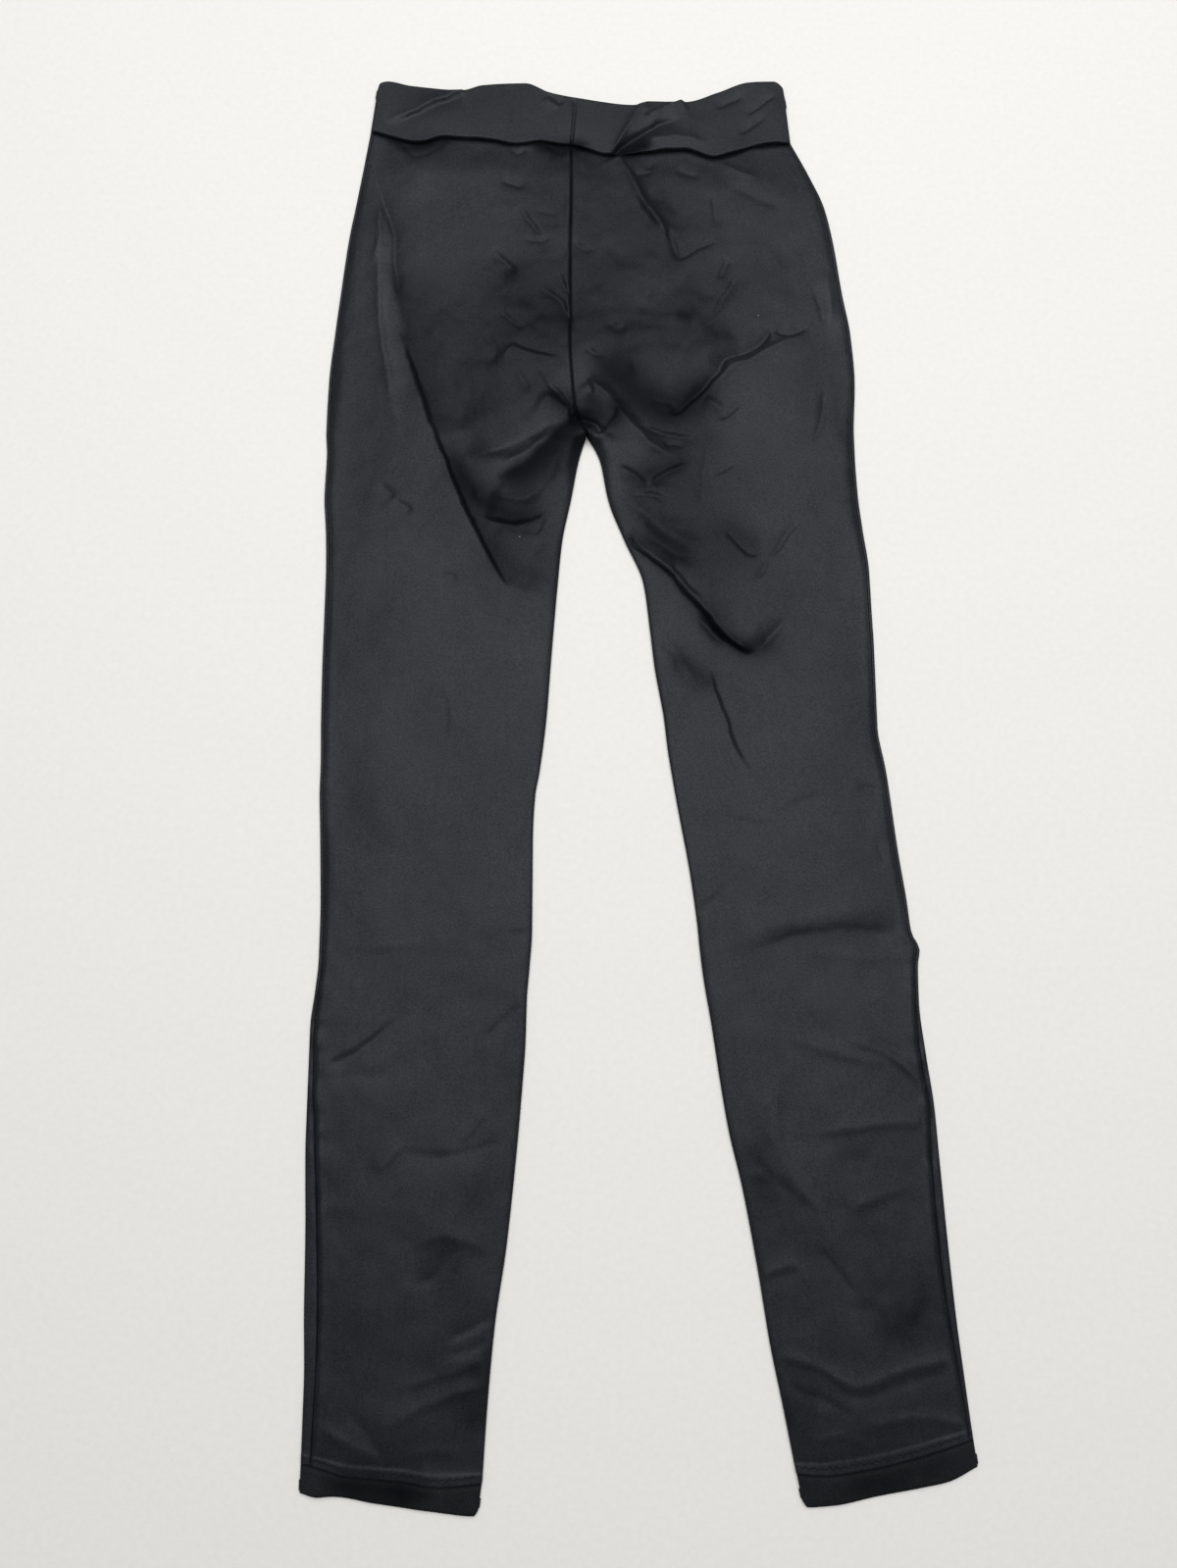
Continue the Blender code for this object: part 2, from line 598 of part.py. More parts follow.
def main():
    clear_scene()
    right = Leg(RIGHT_HIP, RIGHT_LEG, RIGHT_TUCK)
    left = Leg(LEFT_HIP, LEFT_LEG, LEFT_TUCK)
    solid("front_leg_right", right.front_walls(), "body_cloth")
    solid("front_leg_left", left.front_walls(), "body_cloth")
    solid("back_leg_right", right.back_walls(), "under_cloth")
    solid("back_leg_left", left.back_walls(), "under_cloth")
    solid("waistband", band_walls(right, left), "waistband_cloth")
    solid("hem_right", hem_walls(right, RIGHT_TUCK, RIGHT_HEM), "hem_cloth", closed=True)
    solid("hem_left", hem_walls(left, LEFT_TUCK, LEFT_HEM), "hem_cloth", closed=True)


main()
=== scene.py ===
"""Cycling leggings in charcoal stretch knit, lying flat with the front up on a pale floor.

Tables and shapes are in millimetres: X runs across the garment, Y up it from the hems to the waist, and Z up
from the floor. The wearer's right leg lies at -X. Meshes are put in metres when they are made.
"""

import logging
import math
from dataclasses import dataclass, field
from enum import Enum

import bmesh
import bpy
import numpy as np
from mathutils import Euler, Matrix, Vector


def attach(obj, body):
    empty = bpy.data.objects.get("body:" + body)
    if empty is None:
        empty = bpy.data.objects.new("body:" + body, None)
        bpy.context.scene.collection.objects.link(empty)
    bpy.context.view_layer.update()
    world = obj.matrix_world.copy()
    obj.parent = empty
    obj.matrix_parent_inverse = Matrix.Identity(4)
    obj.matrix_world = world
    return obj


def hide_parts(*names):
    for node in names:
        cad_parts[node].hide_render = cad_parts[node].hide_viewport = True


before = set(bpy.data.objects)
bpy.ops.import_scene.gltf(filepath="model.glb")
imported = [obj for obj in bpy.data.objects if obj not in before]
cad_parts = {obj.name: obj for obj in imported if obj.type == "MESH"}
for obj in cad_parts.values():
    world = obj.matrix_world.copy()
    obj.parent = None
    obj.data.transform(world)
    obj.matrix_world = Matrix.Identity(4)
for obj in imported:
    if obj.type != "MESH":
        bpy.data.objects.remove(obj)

LOG = logging.getLogger("leggings")
MM = 0.001

Array = np.ndarray
Pair = tuple[float, float]
Triple = tuple[float, float, float]
Line = tuple[Pair, ...]
Colour = tuple[float, float, float]


class Side(Enum):
    """The wearer's two sides."""

    RIGHT = "right"
    LEFT = "left"


class Facing(Enum):
    """Which way a panel's outer face looks."""

    UP = 1.0
    DOWN = -1.0


# ---- Sizes that several pieces share, mm

CLOTH = 0.6  # the knit's thickness
BODY_TOP = 2.3  # height of a leg's upper side at its edges
SEAM_GAP = 0.3  # between two panels
FOLD_REACH = 9.0  # creases have their full height this far from an edge that is sewn down
TUCK_DEPTH = 4.5  # the cover-stitched tuck above each hem
EDGE_ROUND = 1.7  # how far in from the inseam a panel's edge is rounded
EDGE_DROP = 1.05  # and by how much


# ---- Outlines, mm


@dataclass(frozen=True)
class Section:
    """A cross-section of a leg: its inner and outer edge points and how far in the side seam lies."""

    inner: Pair
    outer: Pair
    seam_in: float = 2.0


CENTRE_SEAM: Line = (
    (-35.0, 401.5), (-35.0, 378.0), (-35.0, 354.5), (-35.5, 327.0), (-35.5, 291.0), (-35.5, 259.0),
    (-34.0, 229.0), (-31.0, 203.5), (-24.5, 190.0),
)
CROTCH = len(CENTRE_SEAM) - 1  # the crotch's section
RIGHT_HIP: tuple[Triple, ...] = (
    (-171.5, 412.5, 2.0), (-176.0, 381.0, 2.0), (-179.5, 357.5, 2.0), (-183.8, 329.0, 2.0),
    (-187.5, 292.5, 2.0), (-190.5, 260.5, 2.0), (-193.0, 229.0, 2.0), (-193.5, 204.0, 2.0),
    (-193.5, 192.5, 2.0),
)
LEFT_HIP: tuple[Triple, ...] = (
    (114.0, 403.5, 2.0), (126.0, 378.0, 2.0), (135.3, 354.5, 2.2), (140.3, 329.0, 2.4),
    (144.8, 292.5, 2.4), (149.5, 260.5, 2.2), (151.0, 230.5, 2.0), (149.6, 204.0, 2.0),
    (149.0, 192.5, 2.0),
)
RIGHT_LEG: tuple[Section, ...] = (
    Section((-29.5, 173.0), (-192.5, 175.5)),
    Section((-34.5, 146.0), (-193.0, 149.5)),
    Section((-40.0, 118.0), (-191.0, 121.5)),
    Section((-43.0, 86.5), (-190.0, 90.0)),
    Section((-46.5, 41.5), (-190.0, 45.5)),
    Section((-49.5, 0.5), (-189.5, 4.5)),
    Section((-53.5, -32.0), (-188.5, -28.5)),
    Section((-56.0, -47.0), (-188.5, -43.0)),
    Section((-57.2, -76.0), (-187.0, -72.5)),
    Section((-57.2, -126.5), (-185.0, -122.5)),
    Section((-58.5, -150.0), (-185.0, -145.5)),
    Section((-60.0, -170.0), (-186.5, -165.5)),
    Section((-60.5, -193.0), (-188.5, -187.0), 2.5),
    Section((-62.5, -224.0), (-188.5, -217.5), 3.0),
    Section((-65.0, -255.5), (-188.5, -249.0), 5.5),
    Section((-70.5, -310.0), (-186.5, -302.5), 7.0),
    Section((-76.5, -352.0), (-185.5, -345.0), 8.0),
    Section((-80.0, -392.5), (-184.0, -384.5), 6.5),
    Section((-82.5, -435.0), (-184.0, -425.5), 5.5),
)
LEFT_LEG: tuple[Section, ...] = (
    Section((-16.0, 173.0), (149.0, 176.5)),
    Section((-10.5, 145.5), (149.8, 150.5)),
    Section((-0.5, 119.0), (152.0, 126.0)),
    Section((11.5, 90.0), (155.0, 98.5)),
    Section((15.2, 61.0), (155.5, 71.0)),
    Section((18.0, 35.5), (156.0, 47.5)),
    Section((23.5, 2.5), (156.0, 16.5)),
    Section((25.5, -16.0), (156.0, -3.5)),
    Section((30.2, -47.0), (160.2, -32.0)),
    Section((38.5, -95.5), (165.2, -80.5)),
    Section((42.3, -126.0), (169.0, -110.0)),
    Section((43.3, -138.0), (171.0, -129.5)),
    Section((44.3, -148.0), (175.5, -140.0)),
    Section((45.8, -160.0), (174.0, -150.0)),
    Section((49.6, -183.5), (173.6, -172.0)),
    Section((54.0, -215.5), (176.4, -203.0), 3.5),
    Section((58.6, -244.5), (179.6, -231.0), 3.0),
    Section((66.0, -277.5), (181.2, -262.0), 5.0),
    Section((73.8, -322.5), (183.5, -305.5), 5.5),
    Section((79.8, -362.5), (186.0, -345.0), 4.5),
    Section((86.0, -394.5), (188.8, -376.5), 3.0),
    Section((92.5, -430.0), (192.2, -411.5)),
)
WAIST_SEAM: Line = (
    (-171.5, 412.5), (-155.5, 407.5), (-139.5, 403.5), (-120.0, 408.0), (-90.0, 406.0),
    (-73.5, 403.0), (-58.0, 404.0), (-35.0, 401.5), (-8.0, 395.0), (20.0, 397.0), (41.5, 398.5),
    (62.0, 392.5), (90.0, 401.0), (114.0, 403.5),
)
BAND_EDGE: Line = (
    (-168.0, 443.0), (-166.0, 449.0), (-161.0, 450.5), (-144.5, 447.0), (-109.5, 443.5),
    (-96.0, 447.2), (-66.5, 449.0), (-50.0, 442.0), (-31.5, 437.5), (9.0, 432.0), (17.5, 435.0),
    (43.0, 434.5), (65.0, 441.5), (86.0, 449.3), (103.5, 450.3), (109.7, 445.5), (111.0, 436.0),
)
RIGHT_TUCK: Line = (
    (-82.5, -434.5), (-107.0, -436.5), (-128.0, -433.5), (-159.5, -431.0), (-169.0, -428.0),
    (-184.0, -424.0),
)
RIGHT_HEM: Line = (
    (-84.5, -448.5), (-87.0, -451.5), (-108.0, -449.5), (-142.0, -445.0), (-166.0, -441.5),
    (-174.0, -442.0), (-184.0, -439.5),
)
LEFT_TUCK: Line = (
    (92.5, -429.5), (108.0, -430.5), (132.0, -427.5), (155.5, -422.5), (173.5, -417.5),
    (192.2, -411.5),
)
LEFT_HEM: Line = (
    (95.5, -443.5), (98.5, -447.0), (113.5, -446.0), (136.5, -441.5), (159.0, -437.5),
    (177.0, -434.0), (194.0, -426.0),
)


# ---- Curves and waves


def smooth_step(value: Array | float) -> Array:
    """Rises in an even S from 0 at 0 to 1 at 1.

    Args:
        value: Where to read the curve.

    Returns:
        The curve's height there, from 0 to 1.
    """
    t = np.clip(value, 0.0, 1.0)
    return t * t * (3.0 - 2.0 * t)


def bump(distance: Array, width: Array | float) -> Array:
    """A bell of height 1 that has died away at about twice its width.

    Args:
        distance: How far from the middle.
        width: The bell's width.

    Returns:
        The bell's height.
    """
    return np.exp(-((distance / width) ** 2))


def quarter_round(share: Array) -> Array:
    """Rises in a quarter circle from 0 at 0 to 1 at 1, and stays there.

    Args:
        share: How far in from the edge, as a share of the round's width.

    Returns:
        The height, from 0 to 1.
    """
    return np.sqrt(np.clip(1 - np.clip(1 - share, 0, 1) ** 2, 0, 1))


def curve_through(knots: Array, values: Array, at: Array) -> Array:
    """A smooth curve through the values that never overshoots them.

    Args:
        knots: Where the values lie, in rising order.
        values: The values there.
        at: Where to read the curve.

    Returns:
        The curve's values.
    """
    knots, values = np.asarray(knots, float), np.asarray(values, float)
    at = np.clip(np.asarray(at, float), knots[0], knots[-1])
    step = np.diff(knots)
    rise = np.diff(values) / step
    slope = np.concatenate([[rise[0]], np.zeros(len(rise) - 1), [rise[-1]]])
    inside = rise[:-1] * rise[1:] > 0
    slope[1:-1][inside] = 2 * (rise[:-1] * rise[1:])[inside] / (rise[:-1] + rise[1:])[inside]
    place = np.clip(np.searchsorted(knots, at, side="right") - 1, 0, len(step) - 1)
    width, t = step[place], (at - knots[place]) / step[place]
    start = values[place] * (1 + 2 * t) * (1 - t) ** 2 + slope[place] * width * t * (1 - t) ** 2
    end = values[place + 1] * t * t * (3 - 2 * t) + slope[place + 1] * width * t * t * (t - 1)
    return start + end


def line_y(line: Line, x: Array) -> Array:
    """Y of a line of points at each X.

    Args:
        line: Points that run along X either way.
        x: Where to read the line.

    Returns:
        The line's Y.
    """
    ordered = np.array(sorted(line))
    return curve_through(ordered[:, 0], ordered[:, 1], x)


def flowing_line(points: Line, step: float) -> Array:
    """A smooth line through a few points.

    Args:
        points: The points, in order.
        step: About how far apart the line's own points lie.

    Returns:
        The line's points, one a row.
    """
    p = np.array(points, float)
    if len(p) == 2:
        p = np.array([p[0], (p[0] + p[1]) / 2, p[1]])
    ends = np.vstack([2 * p[0] - p[1], p, 2 * p[-1] - p[-2]])
    made = []
    for a, b, c, d in zip(ends, ends[1:], ends[2:], ends[3:]):
        count = max(2, int(math.dist(b, c) / step))
        t = np.linspace(0, 1, count, endpoint=False)[:, None]
        made.append(
            0.5 * (2 * b + (c - a) * t + (2 * a - 5 * b + 4 * c - d) * t**2 + (3 * b - a - 3 * c + d) * t**3)
        )
    return np.vstack([*made, p[-1:]])


@dataclass(frozen=True)
class Waves:
    """Uneven soft waves over the cloth, the same each time for one seed."""

    seed: int
    length: float
    height: float
    stretch: float = 1.0  # above 1, the waves are this many times as long along Y

    def at(self, x: Array, y: Array) -> Array:
        """The waves' height.

        Args:
            x: X of each point, mm.
            y: Y of each point, mm.

        Returns:
            The height at each point, mm.
        """
        rng = np.random.default_rng(self.seed)
        cells = rng.uniform(-1, 1, (256, 256))
        u, v = x / self.length + 60.0, y / (self.length * self.stretch) + 60.0
        column, row = np.floor(u).astype(int), np.floor(v).astype(int)
        s, t = smooth_step(u - column), smooth_step(v - row)
        low = cells[row % 256, column % 256] * (1 - s) + cells[row % 256, (column + 1) % 256] * s
        high = cells[(row + 1) % 256, column % 256] * (1 - s) + cells[(row + 1) % 256, (column + 1) % 256] * s
        return self.height * (low * (1 - t) + high * t)


UNEVEN_X: tuple[Waves, ...] = (Waves(31, 9.0, 0.5), Waves(33, 4.0, 0.35))
UNEVEN_Y: tuple[Waves, ...] = (Waves(32, 9.0, 0.5), Waves(34, 4.0, 0.35))


def added(waves: tuple[Waves, ...], start: Array, x: Array, y: Array) -> Array:
    """Adds several sets of waves to a value.

    Args:
        waves: The waves.
        start: The value at each point.
        x: X of each point, mm.
        y: Y of each point, mm.

    Returns:
        The value with the waves' heights.
    """
    for wave in waves:
        start = start + wave.at(x, y)
    return start


@dataclass(frozen=True)
class Crease:
    """A soft ridge of the cloth along a line, or a trough where its height is below 0.

    Left and right are its widths on either hand along the line. With a lean, its crest is pushed over
    towards its narrower side, so that the cloth hangs over there. Fades are the shares of the line over which
    it rises and dies away. Soft is how far from the line the crest stays round.
    """

    line: Line
    height: float
    left: float
    right: float
    lean: float = 0.0
    fades: Pair = (0.3, 0.3)
    soft: float = 0.7

    def lift(self, x: Array, y: Array, out: Array) -> None:
        """Adds this crease's lift and its sideways push.

        Args:
            x: X of each point before any push, mm.
            y: Y of each point before any push, mm.
            out: Rows of push in X, push in Y and lift for each point, added to in place.
        """
        path = flowing_line(self.line, 3.0)
        reach = 4.5 * max(self.left, self.right)
        low, high = path.min(0) - reach, path.max(0) + reach
        near = np.flatnonzero((x > low[0]) & (x < high[0]) & (y > low[1]) & (y < high[1]))
        if not len(near):
            return
        start, way = path[:-1], np.diff(path, axis=0)
        long = np.hypot(*way.T)
        dx, dy = x[near, None] - start[:, 0], y[near, None] - start[:, 1]
        part = np.clip((dx * way[:, 0] + dy * way[:, 1]) / long**2, 0.0, 1.0)
        away = np.hypot(dx - part * way[:, 0], dy - part * way[:, 1])
        best = away.argmin(1)
        rows = np.arange(len(near))
        distance = away[rows, best]
        on_left = way[best, 0] * dy[rows, best] - way[best, 1] * dx[rows, best] > 0
        along = np.concatenate([[0], np.cumsum(long)])
        at = (along[best] + part[rows, best] * long[best]) / along[-1]
        fade = smooth_step(at / self.fades[0]) * smooth_step((1 - at) / self.fades[1])
        width = np.where(on_left, self.left, self.right)
        fall = np.exp((self.soft - np.hypot(distance, self.soft)) / width)
        out[near, 2] += self.height * fade * fall
        if self.lean:
            to_left = 1.0 if self.left < self.right else -1.0
            push = self.lean * fade * bump(distance, 1.6 * width)
            out[near, 0] -= to_left * push * way[best, 1] / long[best]
            out[near, 1] += to_left * push * way[best, 0] / long[best]


def creased(creases: tuple[Crease, ...], x: Array, y: Array) -> Array:
    """What a set of creases does to a grid of points.

    Args:
        creases: The creases.
        x: X of each point, mm.
        y: Y of each point, mm.

    Returns:
        For each point its push in X, its push in Y and its lift, mm.
    """
    out = np.zeros((x.size, 3))
    uneven_x, uneven_y = added(UNEVEN_X, x, x, y), added(UNEVEN_Y, y, x, y)
    for crease in creases:
        crease.lift(uneven_x.ravel(), uneven_y.ravel(), out)
    return out.reshape(*x.shape, 3)


# ---- Creases, mm

RIGHT_CREASES: tuple[Crease, ...] = (
    # outer hip
    Crease(
        (
            (-166, 374), (-164, 352), (-163, 330), (-162, 300), (-161, 270), (-157, 245), (-149, 200),
            (-142, 166),
        ),
        1.5, 4.0, 14.0, 0.6, soft=1.0,
    ),
    Crease(((-164, 358), (-163, 338), (-165, 320), (-168, 308)), 0.9, 1.3, 1.8),
    Crease(((-163, 332), (-163, 300), (-162, 284), (-160, 262), (-156, 236), (-151, 205)), 0.7, 1.3, 1.8),
    Crease(
        ((-168, 383), (-165, 369), (-160, 352), (-154, 336), (-151, 305), (-148, 279), (-146, 262)),
        -1.6, 5.0, 1.2,
    ),
    # long fold down the thigh
    Crease(
        (
            (-152, 272), (-143, 246), (-134, 218), (-123, 187), (-112, 159), (-102, 135), (-91, 114),
            (-82, 98), (-72, 82),
        ),
        4.6, 1.8, 40.0, 1.0, (0.35, 0.22), 0.3,
    ),
    Crease(
        (
            (-150, 272), (-141, 246), (-132, 218), (-121, 187), (-110, 159), (-100, 135), (-89, 114),
            (-80, 98), (-70, 82),
        ),
        -2.4, 15.0, 0.9, 0.0, (0.3, 0.15), 0.5,
    ),
    # pouch beside the crotch
    Crease(
        ((-36, 204), (-53, 194), (-71, 182), (-89, 176), (-108, 174)),
        4.8, 4.5, 18.0, 1.0, (0.05, 0.35), 0.6,
    ),
    Crease(((-42, 196), (-56, 182), (-72, 172), (-84, 166)), -1.6, 5.0, 2.0, soft=1.0),
    Crease(((-56, 217), (-47, 211), (-41, 206), (-36, 202)), 2.6, 3.0, 9.0, 0.5, (0.3, 0.04), 0.5),
    Crease(((-52, 223), (-45, 220), (-40, 213), (-36, 206)), -1.6, 1.0, 3.0, soft=0.4),
    Crease(((-110, 175), (-102, 169), (-98, 159), (-93, 147), (-86, 139)), 1.4, 4.5, 8.0),
    Crease(((-88, 150), (-75, 145), (-64, 145), (-52, 152)), 2.6, 9.0, 4.0),
    Crease(
        ((-99, 137), (-92, 134), (-84, 131), (-74, 129), (-68, 129), (-56, 132), (-46, 141)),
        -2.4, 0.9, 6.0, soft=0.4,
    ),
    Crease(((-52, 134), (-55, 127), (-58, 121)), -1.3, 0.8, 2.5, soft=0.4),
    Crease(((-40, 184), (-45, 168), (-54, 152), (-64, 144)), 2.0, 4.0, 7.0, soft=1.5),
    Crease(((-52, 118), (-58, 110), (-66, 104)), -0.9, 3.0, 3.0),
    # seat
    Crease(((-70, 355), (-62, 343), (-53, 331)), -1.45, 0.9, 3.5, soft=0.4),
    Crease(((-68, 330), (-57, 329), (-46, 331)), -1.22, 0.8, 3.0, soft=0.4),
    Crease(((-34, 330), (-27, 323), (-19, 321)), -1.12, 0.8, 3.0, soft=0.4),
    Crease(((-43, 308), (-40, 297), (-35, 288)), -1.22, 0.8, 3.0, soft=0.4),
    Crease(((-90, 323), (-79, 314), (-69, 303)), -2.03, 1.4, 8.0),
    Crease(((-59, 300), (-48, 290), (-41, 285), (-37, 275), (-32, 263)), -2.03, 1.2, 5.0, soft=0.5),
    Crease(((-90, 302), (-74, 290), (-58, 284)), -1.22, 7.0, 7.0, soft=4.0),
    Crease(((-82, 279), (-74, 270), (-65, 263)), -1.22, 0.9, 3.5, soft=0.4),
    Crease(((-82, 237), (-75, 249), (-66, 247), (-56, 243), (-43, 241)), 1.22, 1.2, 2.4, soft=0.4),
    Crease(((-76, 255), (-64, 250), (-54, 247), (-41, 244)), -1.59, 3.0, 1.0, soft=0.4),
    Crease(((-73, 238), (-66, 228), (-62, 216)), -1.12, 1.0, 4.0),
    Crease(((-93, 263), (-84, 250), (-87, 236)), -1.01, 1.6, 4.0),
    Crease(((-84, 374), (-64, 367)), -1.45, 4.0, 2.0, soft=1.0),
    Crease(((-60, 351), (-43, 347)), -0.81, 1.2, 2.4),
    Crease(((-120, 240), (-108, 214), (-104, 190)), -1.59, 7.0, 7.0, soft=4.0),
    Crease(((-50, 310), (-56, 286), (-50, 262)), -1.42, 8.0, 8.0, soft=4.0),
    Crease(((-158, 156), (-147, 144)), -0.91, 1.6, 4.0),
    Crease(((-148, 144), (-142, 141), (-135, 135)), -1.01, 0.8, 3.0, soft=0.4),
    Crease(((-119, 96), (-106, 91)), -0.81, 1.6, 3.0),
    # waist
    Crease(((-149, 402), (-145, 398), (-140, 394), (-130, 398), (-122, 404)), -1.4, 1.8, 1.8, 0.0, (0.1, 0.1)),
    Crease(((-144, 390), (-139, 382), (-137, 368)), 0.56, 3.0, 3.0, 0.0, (0.2, 0.7)),
    Crease(((-78, 402), (-74, 397), (-70, 395), (-66, 400)), -0.84, 1.5, 1.5, 0.0, (0.15, 0.15)),
    Crease(((-52, 402), (-44, 396), (-38, 392)), -0.7, 2.0, 2.0, 0.0, (0.1, 0.3)),
    # knee and calf
    Crease(((-96, 73), (-85, 67), (-74, 64), (-67, 57)), -0.7, 0.9, 5.0, soft=0.5),
    Crease(((-97, 58), (-84, 56), (-72, 53), (-63, 52)), -0.6, 0.9, 5.0, soft=0.5),
    Crease(((-79, 30), (-68, 36), (-57, 39)), -0.6, 4.0, 1.0, soft=0.5),
    Crease(((-114, 24), (-108, 8), (-109, -12)), 0.5, 4.0, 1.2, soft=1.0),
    Crease(((-170, -140), (-143, -138), (-115, -136)), 0.5, 5.0, 2.0, soft=1.0),
    Crease(((-76, -130), (-57, -131)), -0.7, 1.2, 4.0, 0.0, (0.4, 0.05), 0.5),
    Crease(((-178, -208), (-161, -200), (-140, -184), (-128, -170)), -1.3, 1.0, 7.0, 0.0, (0.15, 0.6), 0.5),
    Crease(((-178, -216), (-160, -214), (-136, -214)), -0.6, 6.0, 2.0, soft=1.0),
    Crease(
        ((-70, -165), (-79, -205), (-83, -245), (-94, -281), (-113, -320)),
        1.1, 9.0, 5.0, 0.0, (0.3, 0.4), 3.0,
    ),
    Crease(((-88, -196), (-74, -181), (-60, -170)), -0.7, 1.0, 6.0, soft=0.5),
    Crease(((-142, -253), (-108, -259), (-66, -249)), -0.6, 1.2, 8.0, soft=1.0),
    Crease(((-150, -268), (-139, -262), (-129, -250)), 0.6, 5.0, 1.5, soft=0.8),
    Crease(((-100, -252), (-91, -244), (-82, -232)), 0.6, 4.0, 1.2, soft=0.6),
    Crease(((-128, -309), (-103, -304), (-78, -314)), 0.7, 7.0, 2.0, soft=1.0),
    Crease(((-125, -333), (-109, -323), (-97, -306)), -0.8, 7.0, 2.0, soft=1.0),
    Crease(((-106, -362), (-90, -354), (-76, -348)), -1.0, 5.0, 1.0, 0.0, (0.4, 0.1), 0.5),
    Crease(((-110, -370), (-92, -366), (-76, -358)), -0.5, 4.0, 1.0, 0.0, (0.4, 0.1), 0.5),
    Crease(((-145, -410), (-118, -396), (-97, -388), (-78, -383)), 0.7, 6.0, 1.4, 0.0, (0.4, 0.1), 0.6),
    Crease(((-142, -388), (-112, -380), (-81, -371)), 0.6, 5.0, 1.4, 0.0, (0.5, 0.1), 0.6),
    Crease(((-176, -404), (-150, -418), (-128, -425)), 0.8, 3.0, 3.0, 0.0, (0.2, 0.3)),
    Crease(((-163, -392), (-144, -412), (-137, -425)), -0.7, 2.0, 4.0, 0.0, (0.4, 0.1)),
    Crease(((-130, -422), (-112, -418), (-92, -420)), 0.6, 3.0, 1.5, soft=0.8),
)
